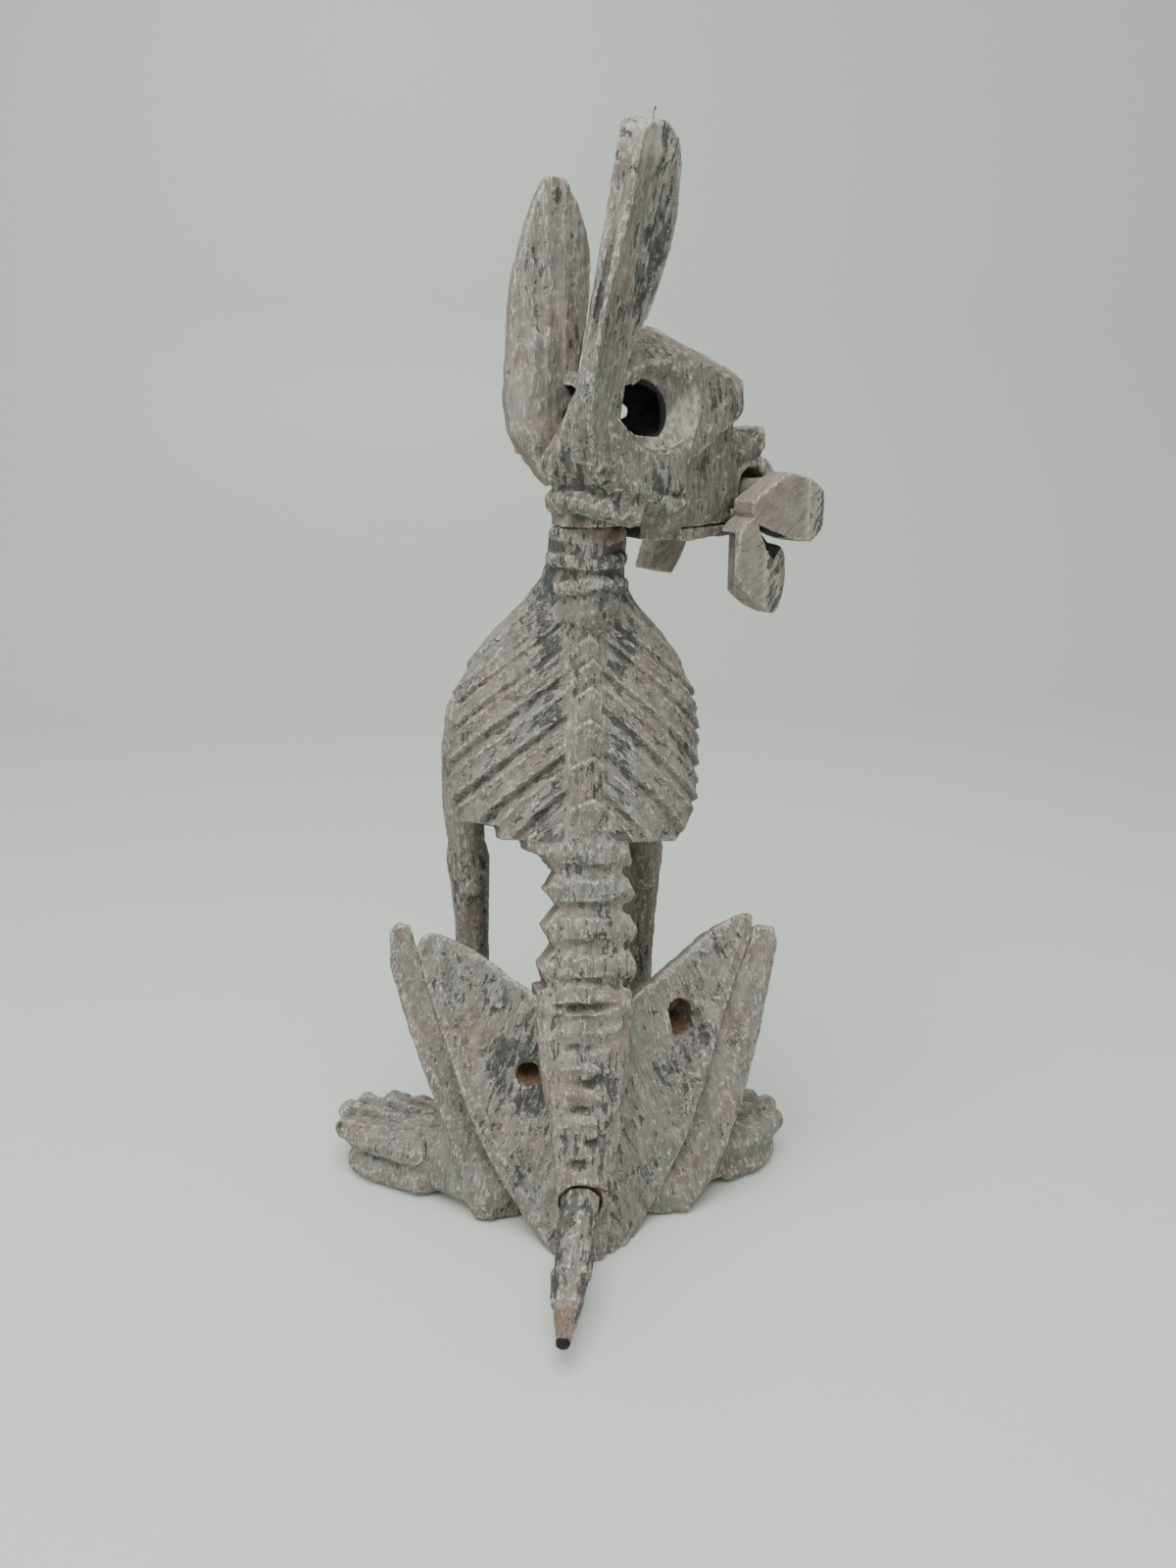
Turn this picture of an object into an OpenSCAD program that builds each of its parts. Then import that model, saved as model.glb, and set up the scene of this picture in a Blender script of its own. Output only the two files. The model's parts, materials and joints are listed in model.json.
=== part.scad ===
/* [Stance] */
// Height of the seat of the neck joint above the ground, mm
neck_seat = 321; // [318:1:324]
// Turn of the head to its own right at rest, degrees
head_turn = 57; // [50:1:64]
// Forward lean of the spine from the vertical, degrees
spine_lean = 18.8; // [17:0.2:20]
// Sideways lean of the spine to the dog's right, degrees
spine_tilt = 2.2; // [1.6:0.2:2.8]

/* [Rib cage] */
// Half width of the rib cage at its widest, mm
chest_half = 60; // [57:1:63]
// Number of carved ribs down each side
rib_count = 8; // [6:1:9]
// Height of one rib measured down the spine, mm
rib_pitch = 15; // [14:0.5:16]
// Depth of the carved channel between ribs, mm
rib_relief = 3; // [2:0.5:4]

/* [Spine] */
// Number of lumbar vertebrae below the ribs
vertebra_count = 5; // [4:1:6]
// Height of one vertebra, mm
vertebra_pitch = 16.5; // [16:0.5:17]
// Half width of a vertebra at its side points, mm
vertebra_half = 22; // [20:1:23]
// Half width of a vertebra at its waist, mm
vertebra_waist = 16.5; // [15:0.5:18]

/* [Head] */
// Radius of the passage between the two eye sockets, mm
socket_pass_r = 10; // [9:0.5:10.5]
// Radius of the carved bowl of each eye socket, mm
socket_bowl_r = 17.5; // [16:0.5:18.5]
// Radius of the bone's shaft, mm
bone_r = 7; // [6.5:0.25:7.25]
// Thickness of the board that the bone is sawn from, mm
bone_board = 13; // [12:0.5:14]
// Radius of the mouth arch that the bone's shaft passes through, mm
mouth_r = 10; // [9.5:0.5:10.5]

/* [Dowels] */
// Radius of the neck dowel, mm
neck_dowel_r = 6; // [5:0.5:7]
// Radius of the hip dowels, mm
hip_dowel_r = 5; // [4:0.5:6]
// Radius of the shoulder dowels, mm
shoulder_dowel_r = 4; // [3:0.5:5]
// Radius of the knee dowels, mm
knee_dowel_r = 3.5; // [3:0.5:4]
// Radius of the ear dowels, mm
ear_dowel_r = 3; // [2.5:0.5:3.5]
// Radius of the jaw pegs, mm
jaw_peg_r = 2.5; // [2:0.5:3]
// Radius of the tail peg, mm
tail_peg_r = 4; // [3.5:0.5:4.5]
// Radius of the drilled holes in the thighs, mm
hip_hole_r = 5.8; // [5:0.2:6.4]

/* [Hidden] */
$fn = 48;
limewash = [0.66, 0.63, 0.60];
raw_wood = [0.62, 0.47, 0.34];
turn_gap = 0.3;         // gap between faces that turn on each other
peg_clearance = 0.05;   // radial clearance of a dowel that turns
far = 400;              // longer than the figure

// Spine frame: x to the dog's left, y to the back, z up along the spine from the ground
spine_foot = [2, 15, 0];
neck_axis = [-11, -92];

// Rib cage, in the spine frame
rib_top = 316;
slab_droop = 24;        // slope of a rib, down and outward, degrees

// Head frame: origin on the neck axis, x to the head's left, y to its back, z from the ground
socket_at = [0, -9, 372];
bone_at = [0, -95, 333];
bone_slant = [16, 9];    // backward slant of each end's hanging lobe, far end first
bone_drop = [35, 42];    // drop of each end's hanging lobe
jaw_split = 326;        // height of the joint between skull and lower jaw
ear_seat = [[26, 8, 374], [20, 8, 374]];
ear_rake = 7;           // forward rake of an ear, degrees
ear_splay = [5, 9];     // outward splay, left and right, degrees
ear_pin_turn = 40;      // heading of an ear's dowel, turned from square to the blade, degrees
ear_pin_dip = 10;       // how far an ear's dowel slopes down into the skull, degrees
ear_facing = 24;        // turn of an ear's hollow from sideways towards the front, degrees
ear_length = [94, 104]; // from the seat to the tip, left and right
ear_tip = [4, 9];       // half breadth of the tip, left and right

// Hips, knees and shoulders, in the figure's frame: the left side, then the right side
hip_at = [[20, -42, 62], [-20, -42, 66]];
knee_tip = [[71, -62, 133], [-84, -62, 133]];
shank_tip = [[86, -68, 139], [-98, -68, 130]];
heel_at = [[42, -46, 13], [-41, -40, 13]];
toe_at = [[104, -92, 10], [-92, -79, 10]];
shoulder_at = [[49, -114, 204], [-49, -114, 200]];
elbow_at = [[48, -116, 150], [-42, -116, 150]];
wrist_at = [[46, -122, 30], [-38, -122, 30]];
hip_hole_at = [[27, -30, 79], [-50, -33, 99]];
hip_hole_aim = [[68, 0, -18], [68, 0, 24]];
tail_root = [4, 1, 29];
tail_heading = 77.5;    // heading of the tail, measured from +X, degrees
tail_dip = 12;          // slope of the tail below the level, degrees
tail_length = 70;

// A carved lump: a coarse sphere that hulls to a faceted surface
module lump(at, r, sides = 10) translate(at) sphere(r, $fn = sides);

module spine_frame() translate(spine_foot) rotate([spine_lean, -spine_tilt, 0]) children();

module head_frame() translate([neck_axis[0], neck_axis[1], 0]) rotate([0, 0, -head_turn]) children();

// side 0 is the dog's left, side 1 its right
function hand(side) = side == 0 ? 1 : -1;

// ---- dowels: each is drawn once here and cut again, with clearance, from its mates ----

module neck_dowel_shape(play = 0) {
  translate([neck_axis[0], neck_axis[1], 292]) cylinder(r = neck_dowel_r + play, h = 52);
}

module shoulder_dowel_shape(side) {
  translate(shoulder_at[side] + [hand(side) * 2, 0, 0])
    rotate([0, -90 * hand(side), 0]) cylinder(r = shoulder_dowel_r, h = 26);
}

module hip_dowel_shape(side) {
  translate(hip_at[side] + [hand(side) * 12, 0, 0])
    rotate([0, -90 * hand(side), 0]) cylinder(r = hip_dowel_r, h = 26);
}

function knee_joint(side) = (knee_tip[side] * 0.55 + heel_at[side] * 0.45) + [hand(side) * 4, 2, 0];

module knee_dowel_shape(side) {
  translate(knee_joint(side) - [hand(side) * 9, 0, 0])
    rotate([0, 90 * hand(side), 0]) cylinder(r = knee_dowel_r, h = 20);
}

module tail_frame() translate(tail_root) rotate([0, tail_dip, tail_heading]) children();

module tail_peg_shape(play = 0) {
  tail_frame() translate([-20, 0, 0]) rotate([0, 90, 0]) cylinder(r = tail_peg_r + play, h = 34);
}

module ear_frame(side) {
  translate([hand(side) * ear_seat[side][0], ear_seat[side][1], ear_seat[side][2]])
    rotate([ear_rake, hand(side) * ear_splay[side], 0]) rotate([0, 0, -hand(side) * ear_facing]) children();
}

module ear_dowel_shape(side) {
  ear_frame(side) translate([0, 4, -20]) rotate([0, 0, hand(side) * ear_pin_turn])
    rotate([0, -hand(side) * (90 + ear_pin_dip), 0]) translate([0, 0, -5]) cylinder(r = ear_dowel_r, h = 20);
}

module jaw_peg_shape(side) {
  translate([hand(side) * 13, -56, jaw_split - 7]) cylinder(r = jaw_peg_r, h = 18);
}

// ---- trunk: neck, rib cage, lumbar spine and sacrum carved from one block ----

module rib_core(grow) {
  hull() {
    lump([-1, -32, 308], 12 + grow, 12);
    for (side = [-1, 1]) {
      lump([side * 27, -36, 286], 16 + grow, 12);
      lump([side * (chest_half - 19), -42, 248], 19 + grow, 12);
      lump([side * (chest_half - 17), -54, 208], 15 + grow, 12);
    }
    lump([0, -22, 288], 12 + grow, 12);
    lump([0, -12, 230], 10 + grow, 12);
    lump([0, -84, 226], 12 + grow, 12);
  }
}

module rib_slabs() {
  for (i = [0:rib_count - 1], side = [-1, 1])
    translate([0, 0, rib_top - 8 - i * rib_pitch]) rotate([0, side * slab_droop, 0])
      translate([side * 60, -50, -rib_pitch * 0.32]) cube([120, 140, rib_pitch * 0.64], center = true);
}

module spine_ridge() {
  for (i = [0:rib_count + 1])
    translate([0, -12, rib_top - i * rib_pitch]) rotate([38 - i * 3.4, 0, 0])
      cube([11, 26, rib_pitch * 0.8], center = true);
}

// Outline of the lumbar spine and sacrum from behind: pointed vertebrae, then a tapering sacrum
lumbar_top = 190;
lumbar_foot = lumbar_top - vertebra_count * vertebra_pitch;
function vertebra_edge(side) = [for (i = [0:vertebra_count - 1], j = [0, 1])
  [side * (j == 0 ? vertebra_waist : vertebra_half), lumbar_top - (i + j * 0.5) * vertebra_pitch]];
function turned(points) = [for (i = [len(points) - 1:-1:0]) points[i]];

module lumbar_column() {
  rotate([90, 0, 0]) linear_extrude(28) polygon(concat(vertebra_edge(1), [[19, lumbar_foot]],
    [[-19, lumbar_foot]], turned(vertebra_edge(-1))));
}

module sacrum_core() {
  hull() {
    translate([0, -17, lumbar_foot + 2]) cube([38, 32, 8], center = true);
    translate([0, -22, 70]) cube([34, 40, 8], center = true);
    translate([0, -18, 34]) cube([30, 38, 8], center = true);
    translate([0, -24, 6]) cube([30, 24, 26], center = true);
  }
}

module neck_rings() {
  translate([neck_axis[0], neck_axis[1], 0]) rotate_extrude()
    polygon([[0, 280], [18.5, 280], [17, 288], [14.5, 292], [18, 298], [15, 304], [18, 309], [15.5, 314],
      [16.8, 318], [15.5, neck_seat], [0, neck_seat]]);
}

module trunk() {
  color(limewash) difference() {
    union() {
      spine_frame() {
        rib_core(0);
        intersection() {
          rib_core(rib_relief);
          rib_slabs();
        }
        spine_ridge();
        lumbar_column();
        translate([0, -15, lumbar_top]) cube([30, 26, 40], center = true);
        sacrum_core();
      }
      neck_rings();
    }
    translate([0, 0, -far / 2]) cube(far, center = true);
    translate([neck_axis[0], neck_axis[1], neck_seat]) cylinder(r = 60, h = 60);
    neck_dowel_shape();
    for (side = [0, 1]) {
      shoulder_dowel_shape(side);
      hip_dowel_shape(side);
    }
    tail_peg_shape(peg_clearance);
    tail_frame() translate([-6, 0, 0]) rotate([0, 90, 0]) cylinder(r = 9.5, h = 60);
  }
}

module neck_dowel() {
  color(raw_wood) neck_dowel_shape();
}

// ---- hind legs ----

module thigh_blade(side) {
  s = hand(side);
  hull() {
    lump(knee_tip[side] - [s * 6, 0, 4], 8);
    lump(knee_tip[side] + [s * -22, -2, -10], 8);
    lump(hip_at[side] + [s * 4, 2, 34], 11);
    lump(hip_at[side] + [s * 8, -2, -6], 12);
    lump([s * 17, -34, 9], 9);
    lump([s * 10, -16, 9], 9);
    lump(heel_at[side] * 0.5 + knee_tip[side] * 0.5 - [s * 12, 0, 6], 9);
  }
}

module thigh(side) {
  color(limewash) difference() {
    thigh_blade(side);
    hip_dowel_shape(side);
    knee_dowel_shape(side);
    translate(hip_hole_at[side]) rotate(hip_hole_aim[side]) translate([0, 0, -14])
      cylinder(r = hip_hole_r, h = 60);
    lower_leg_blade(side);
    spine_frame() {
      sacrum_core();
      lumbar_column();
    }
  }
}

module lower_leg_blade(side) {
  s = hand(side);
  hull() {
    lump(shank_tip[side] - [s * 5, 0, 7], 7);
    lump(shank_tip[side] - [s * 8, 8, 20], 8);
    lump(heel_at[side] + [s * 18, 2, 30], 10);
    lump(heel_at[side] + [0, 2, 0], 10);
  }
  hull() {
    lump(heel_at[side] + [0, 2, -1], 12);
    lump(heel_at[side] + [s * 14, -8, 12], 14);
    lump(toe_at[side] * 0.5 + heel_at[side] * 0.5 + [0, 0, 8], 15);
  }
  hull() {
    lump(toe_at[side] * 0.5 + heel_at[side] * 0.5 + [0, -4, 4], 18);
    lump(toe_at[side] + [s * -2, 10, 2], 12);
    lump(toe_at[side] + [s * -14, -14, 6], 13);
  }
}

module toe(side, along, across) {
  s = hand(side);
  heading = (toe_at[side] - heel_at[side]) / norm(toe_at[side] - heel_at[side]);
  base = toe_at[side] + heading * along + [s * -0.55, -0.84, 0] * across;
  hull() {
    lump(base - heading * 16 + [0, 0, 3], 9);
    lump(base + [0, 0, -2], 6);
  }
}

module lower_leg(side) {
  color(limewash) difference() {
    union() {
      lower_leg_blade(side);
      for (i = [0:2]) toe(side, 10 - i * 3, (i - 0.6) * 13);
    }
    translate([0, 0, -far / 2]) cube(far, center = true);
    knee_dowel_shape(side);
  }
}

// ---- front legs ----

module front_leg_blade(side) {
  s = hand(side);
  hull() {
    lump(shoulder_at[side] + [s * 1, 4, 8], 9);
    lump(shoulder_at[side] + [s * 1, -6, -12], 10);
    lump(elbow_at[side] + [0, 2, 0], 10);
  }
  hull() {
    lump(elbow_at[side] + [0, 2, 0], 10);
    lump(wrist_at[side], 9);
  }
}

module front_leg(side) {
  s = hand(side);
  color(limewash) difference() {
    union() {
      front_leg_blade(side);
      hull() {
        lump(wrist_at[side] + [0, 2, 0], 10);
        lump(wrist_at[side] + [0, 4, -20], 13);
        lump(wrist_at[side] + [s * 3, -22, -19], 13);
      }
      for (i = [-1:1]) hull() {
        lump(wrist_at[side] + [s * 3 + i * 9, -24, -19], 8);
        lump(wrist_at[side] + [s * 4 + i * 11, -38, -24], 6);
      }
    }
    translate([0, 0, -far / 2]) cube(far, center = true);
    shoulder_dowel_shape(side);
    spine_frame() rib_core(rib_relief);
  }
}

// ---- head ----

module skull() {
  color(limewash) head_frame() difference() {
    union() {
      // braincase and brow
      hull() {
        for (s = [-1, 1]) {
          lump([s * 8, 17, 354], 10);
          lump([s * 8, -4, 400], 10);
          lump([s * 11, -42, 393], 9);
          lump([s * 20, -66, 381], 7);
          lump([s * 19, -2, 354], 11);
          lump([s * 21, -46, 350], 11);
        }
      }
      // face and cheeks down to the joint with the jaw
      hull() {
        for (s = [-1, 1]) {
          lump([s * 14, -58, 352], 11);
          lump([s * 17, -44, 334], 9);
          lump([s * 17, -6, 334], 9);
          lump([s * 7, 8, 336], 9);
          translate([s * 12, -66, jaw_split + 2]) cube(6, center = true);
          translate([s * 14, -30, neck_seat + 4]) cube(8, center = true);
          translate([s * 8, 8, neck_seat + 4]) cube(8, center = true);
        }
      }
      // muzzle and nose
      hull() {
        for (s = [-1, 1]) {
          lump([s * 8, -66, 352], 9);
          lump([s * 6, -102, 355], 8);
          lump([s * 6, -106, 344], 7);
          translate([s * 8, -74, jaw_split + 6]) cube(8, center = true);
          translate([s * 6, -106, jaw_split + 6]) cube(8, center = true);
        }
      }
    }
    // ground for the neck, and the joint face of the jaw
    translate([0, 0, neck_seat + turn_gap - 20]) cube([90, 90, 40], center = true);
    translate([0, -94, jaw_split - 20]) cube([90, 120, 40], center = true);
    translate(socket_at) rotate([0, 90, 0]) cylinder(r = socket_pass_r, h = 120, center = true);
    for (s = [-1, 1]) translate(socket_at + [s * 33, 0, 0]) sphere(r = socket_bowl_r, $fn = 12);
    translate(bone_at) rotate([0, 90, 0]) cylinder(r = mouth_r, h = 120, center = true);
    for (side = [0, 1]) {
      ear_blade(side);
      ear_dowel_shape(side);
      jaw_peg_shape(side);
    }
    translate([0, 0, 292]) cylinder(r = neck_dowel_r + peg_clearance, h = 53);
  }
}

module lower_jaw() {
  color(limewash) head_frame() difference() {
    hull() {
      for (s = [-1, 1]) {
        translate([s * 15, -44, jaw_split - 2]) cube([12, 6, 4], center = true);
        translate([s * 12, -66, jaw_split - 2]) cube([12, 8, 4], center = true);
        translate([s * 6, -106, jaw_split - 2]) cube([10, 8, 4], center = true);
        translate([s * 10, -46, 316]) cube([8, 8, 6], center = true);
        translate([s * 8, -72, 316]) cube([8, 8, 6], center = true);
      }
    }
    translate(bone_at) rotate([0, 90, 0]) cylinder(r = bone_r + turn_gap, h = 120, center = true);
    for (side = [0, 1]) jaw_peg_shape(side);
  }
}

module ear_blade(side) {
  s = hand(side);
  ear_frame(side) hull() {
    lump([0, 4, -20], 8);
    lump([0, 14, 0], 7);
    lump([0, -1, 4], 6);
    lump([0, -15, 40], 6);
    lump([0, 14, 40], 7);
    lump([0, ear_tip[side], ear_length[side] - 7], 7);
    lump([0, -ear_tip[side], ear_length[side] - 7], 7);
  }
}

module ear(side) {
  color(limewash) head_frame() difference() {
    ear_blade(side);
    ear_dowel_shape(side);
  }
}

module bone() {
  color(limewash) head_frame() translate(bone_at) {
    rotate([0, 90, 0]) cylinder(r = bone_r, h = 60, center = true);
    for (s = [-1, 1]) translate([s * 31, 0, 0]) hull() {
      sphere(r = bone_board * 0.55, $fn = 12);
      translate([s * 2, -26, -11]) sphere(r = 8, $fn = 12);
    }
    for (s = [-1, 1]) translate([s * 31, 0, 0]) hull() {
      sphere(r = bone_board * 0.55, $fn = 12);
      translate([s * 2, bone_slant[s < 0 ? 1 : 0], -bone_drop[s < 0 ? 1 : 0]]) sphere(r = 9, $fn = 12);
    }
  }
}

// ---- tail ----

module tail() {
  color(limewash) difference() {
    tail_frame() {
      hull() {
        lump([2, 0, 0], 8.4);
        lump([20, 0, 0], 8);
      }
      hull() {
        lump([20, 0, 0], 7.4);
        lump([42, 0, 0], 6.8);
      }
      hull() {
        lump([42, 0, 0], 6.4);
        lump([tail_length - 4, 0, 0], 4);
      }
    }
    tail_peg_shape();
  }
}

module tail_peg() {
  color(raw_wood) tail_peg_shape();
}

trunk();
neck_dowel();
thigh(0);  // left_thigh
thigh(1);  // right_thigh
lower_leg(0);  // left_lower_leg
lower_leg(1);  // right_lower_leg
front_leg(0);  // left_front_leg
front_leg(1);  // right_front_leg
color(raw_wood) hip_dowel_shape(0);  // left_hip_dowel
color(raw_wood) hip_dowel_shape(1);  // right_hip_dowel
color(raw_wood) knee_dowel_shape(0);  // left_knee_dowel
color(raw_wood) knee_dowel_shape(1);  // right_knee_dowel
color(raw_wood) shoulder_dowel_shape(0);  // left_shoulder_dowel
color(raw_wood) shoulder_dowel_shape(1);  // right_shoulder_dowel
skull();
lower_jaw();
ear(0);  // left_ear
ear(1);  // right_ear
color(raw_wood) head_frame() ear_dowel_shape(0);  // left_ear_dowel
color(raw_wood) head_frame() ear_dowel_shape(1);  // right_ear_dowel
color(raw_wood) head_frame() jaw_peg_shape(0);  // left_jaw_peg
color(raw_wood) head_frame() jaw_peg_shape(1);  // right_jaw_peg
bone();
tail();
tail_peg();
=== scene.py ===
import json
import math
import bpy
import numpy as np
import openvdb
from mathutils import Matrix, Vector
from mathutils.kdtree import KDTree


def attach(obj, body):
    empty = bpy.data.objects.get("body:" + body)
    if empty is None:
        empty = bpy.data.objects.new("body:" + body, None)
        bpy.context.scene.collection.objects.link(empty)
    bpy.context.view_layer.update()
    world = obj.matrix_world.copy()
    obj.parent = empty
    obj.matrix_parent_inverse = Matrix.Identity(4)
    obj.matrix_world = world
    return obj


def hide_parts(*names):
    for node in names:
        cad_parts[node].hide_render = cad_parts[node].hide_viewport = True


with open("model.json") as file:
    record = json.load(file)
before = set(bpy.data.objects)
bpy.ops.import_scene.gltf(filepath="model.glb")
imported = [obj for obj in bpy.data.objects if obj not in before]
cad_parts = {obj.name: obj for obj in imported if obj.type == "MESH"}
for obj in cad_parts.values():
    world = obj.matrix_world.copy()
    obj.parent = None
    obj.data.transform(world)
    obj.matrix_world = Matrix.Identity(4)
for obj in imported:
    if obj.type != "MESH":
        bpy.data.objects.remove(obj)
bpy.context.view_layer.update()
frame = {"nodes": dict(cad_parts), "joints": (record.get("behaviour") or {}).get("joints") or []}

# ---------------------------------------------------------------- measures

MM = 0.001
VOXEL = 0.9      # grid step of the carving, mm
AIR = 5.0                               # value of the empty grid, mm outside any wood
SIDES = ((1, "left"), (-1, "right"))    # the dog's left is +X

JOINTS = {joint["name"]: joint for joint in frame["joints"]}


def rotation(x=0.0, y=0.0, z=0.0):
    """Turns about X, then Y, then Z, in degrees, as a matrix that takes local columns to the frame."""
    cx, cy, cz = (math.cos(math.radians(a)) for a in (x, y, z))
    sx, sy, sz = (math.sin(math.radians(a)) for a in (x, y, z))
    about_x = np.array([[1, 0, 0], [0, cx, -sx], [0, sx, cx]])
    about_y = np.array([[cy, 0, sy], [0, 1, 0], [-sy, 0, cy]])
    about_z = np.array([[cz, -sz, 0], [sz, cz, 0], [0, 0, 1]])
    return about_z @ about_y @ about_x


class Place:
    """A local frame: origin in mm in the figure's frame, and the local axes as columns."""

    def __init__(self, origin=(0, 0, 0), turn=None):
        self.origin = np.array(origin, float)
        self.turn = np.eye(3) if turn is None else turn

    def inside(self, origin, turn=None):
        """A frame given inside this one."""
        turn = np.eye(3) if turn is None else turn
        return Place(self.origin + self.turn @ np.array(origin, float), self.turn @ turn)

    def out(self, points):
        return points @ self.turn.T + self.origin

    def into(self, points):
        return (points - self.origin) @ self.turn


def axis_frame(origin, x_axis):
    """A frame with its X along x_axis, Y level and Z up."""
    x = np.array(x_axis, float) / np.linalg.norm(x_axis)
    y = np.cross((0, 0, 1.0), x)
    y /= np.linalg.norm(y)
    return Place(origin, np.stack([x, y, np.cross(x, y)], axis=1))


FIGURE = Place()
SPINE = Place((2, 15, 0), rotation(x=18.8, y=-2.2))
neck = np.array(JOINTS["head_turn"]["pos_m"]) / MM
HEAD = axis_frame((neck[0], neck[1], 0), JOINTS["bone_roll"]["axis"])
TAIL = axis_frame(np.array(JOINTS["tail_turn"]["pos_m"]) / MM, JOINTS["tail_turn"]["axis"])
BONE_AT = HEAD.into(np.array(JOINTS["bone_roll"]["pos_m"]) / MM)
NECK_SEAT = neck[2]
HEAD_GAP = 0.4                          # room between the neck and the skull, mm
TAIL_SOCKET_R = 9.8
TAIL_ROOT = SPINE.into(TAIL.origin)     # the tail's root and heading in the spine frame
TAIL_WAY = SPINE.turn.T @ TAIL.turn[:, 0]

# ---------------------------------------------------------------- shapes as distance fields, in mm


def smooth_line(points, steps):
    """Catmull-Rom curve through the points of a closed outline."""
    p = np.array(points, float)
    out = []
    for a, b, c, d in zip(np.roll(p, 1, axis=0), p, np.roll(p, -1, axis=0), np.roll(p, -2, axis=0)):
        for t in np.arange(steps) / steps:
            out.append(0.5 * (2 * b + (c - a) * t + (2 * a - 5 * b + 4 * c - d) * t * t
                              + (3 * b - a - 3 * c + d) * t ** 3))
    return np.array(out)


def outline_distance(outline, a, b):
    """Signed distance to a closed polygon, on broadcast grids of its two coordinates."""
    nearest = None
    inside = None
    for (a0, b0), (a1, b1) in zip(outline, np.roll(outline, -1, axis=0)):
        ea, eb = a1 - a0, b1 - b0
        t = np.clip(((a - a0) * ea + (b - b0) * eb) / (ea * ea + eb * eb + 1e-9), 0, 1)
        d = (a - a0 - t * ea) ** 2 + (b - b0 - t * eb) ** 2
        crosses = (b0 <= b) != (b1 <= b)
        flip = crosses & (a < (b - b0) * ea / (eb if abs(eb) > 1e-9 else 1e-9) + a0)
        nearest = d if nearest is None else np.minimum(nearest, d)
        inside = flip if inside is None else inside ^ flip
    return np.where(inside, -1, 1) * np.sqrt(nearest)


class Shape:
    """A distance function of X, Y, Z with the box that holds its surface."""

    def __init__(self, low, high, distance):
        self.low, self.high, self.distance = np.array(low, float), np.array(high, float), distance


def bar(points, radii, flat=None, ratio=1.0):
    """Round bars from point to point with changing radius, squeezed by ratio along the direction flat."""
    p = np.array(points, float)
    r = np.broadcast_to(np.array(radii, float), (len(p),))
    squeeze = None if flat is None else np.array(flat, float) / np.linalg.norm(flat)

    def distance(x, y, z):
        best = None
        for a, b, ra, rb in zip(p[:-1], p[1:], r[:-1], r[1:]):
            e = b - a
            t = np.clip(((x - a[0]) * e[0] + (y - a[1]) * e[1] + (z - a[2]) * e[2]) / max(e @ e, 1e-6), 0, 1)
            dx, dy, dz = x - a[0] - t * e[0], y - a[1] - t * e[1], z - a[2] - t * e[2]
            square = dx * dx + dy * dy + dz * dz
            if squeeze is not None:
                along = dx * squeeze[0] + dy * squeeze[1] + dz * squeeze[2]
                square = square + along * along * (ratio * ratio - 1)
            d = np.sqrt(square) - (ra + t * (rb - ra))
            best = d if best is None else np.minimum(best, d)
        return best

    reach = r.max()
    return Shape(p.min(0) - reach, p.max(0) + reach, distance)


def ball(at, radii):
    """An ellipsoid along the axes."""
    c = np.array(at, float)
    r = np.broadcast_to(np.array(radii, float), (3,))

    def distance(x, y, z):
        q = ((x - c[0]) / r[0]) ** 2 + ((y - c[1]) / r[1]) ** 2 + ((z - c[2]) / r[2]) ** 2
        g = (((x - c[0]) / r[0] ** 2) ** 2 + ((y - c[1]) / r[1] ** 2) ** 2 + ((z - c[2]) / r[2] ** 2) ** 2)
        q, g = np.sqrt(q), np.sqrt(g) + 1e-6
        return np.clip(q * (q - 1) / g, -r.min(), AIR * 3)

    return Shape(c - r, c + r, distance)


def plate(outline, axes, mid, half, edge=2.0, rake=0.0):
    """A board: outline in two axes (such as "xz"), mid and half give its middle and half thickness.
    With a rake the outline sinks by that much for each mm below the near face."""
    line = np.array(outline, float)
    third = ({0, 1, 2} - {"xyz".index(axes[0]), "xyz".index(axes[1])}).pop()
    ia, ib = "xyz".index(axes[0]), "xyz".index(axes[1])

    def level(value, a, b):
        return value(a, b) if callable(value) else value

    def distance(*xyz):
        a, b, c = xyz[ia], xyz[ib], xyz[third]
        b = b + rake * (level(mid, a, b) + level(half, a, b) - c) if rake else b
        flat = outline_distance(line, a, b) + edge
        deep = abs(c - level(mid, a, b)) - level(half, a, b) + edge
        corner = np.sqrt(np.maximum(flat, 0) ** 2 + np.maximum(deep, 0) ** 2)
        return corner + np.minimum(np.maximum(flat, deep), 0) - edge

    corners = np.array([(a, b) for a, b in line])
    mids = np.array([level(mid, a, b) for a, b in corners], float)
    halves = np.array([level(half, a, b) for a, b in corners], float)
    low, high = np.zeros(3), np.zeros(3)
    low[ia], high[ia] = corners[:, 0].min(), corners[:, 0].max()
    low[ib], high[ib] = corners[:, 1].min(), corners[:, 1].max()
    low[third], high[third] = (mids - halves).min() - 4, (mids + halves).max() + 4
    return Shape(low, high, distance)


def planes(faces, low, high, soft=1.5):
    """The space inside several flat faces, each (direction, point on the face), with eased corners."""
    def distance(x, y, z):
        total = None
        for direction, point in faces:
            n = np.array(direction, float) / np.linalg.norm(direction)
            d = (x - point[0]) * n[0] + (y - point[1]) * n[1] + (z - point[2]) * n[2]
            total = d if total is None else -smooth_min(-total, -d, soft)
        return total

    return Shape(low, high, distance)


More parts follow.
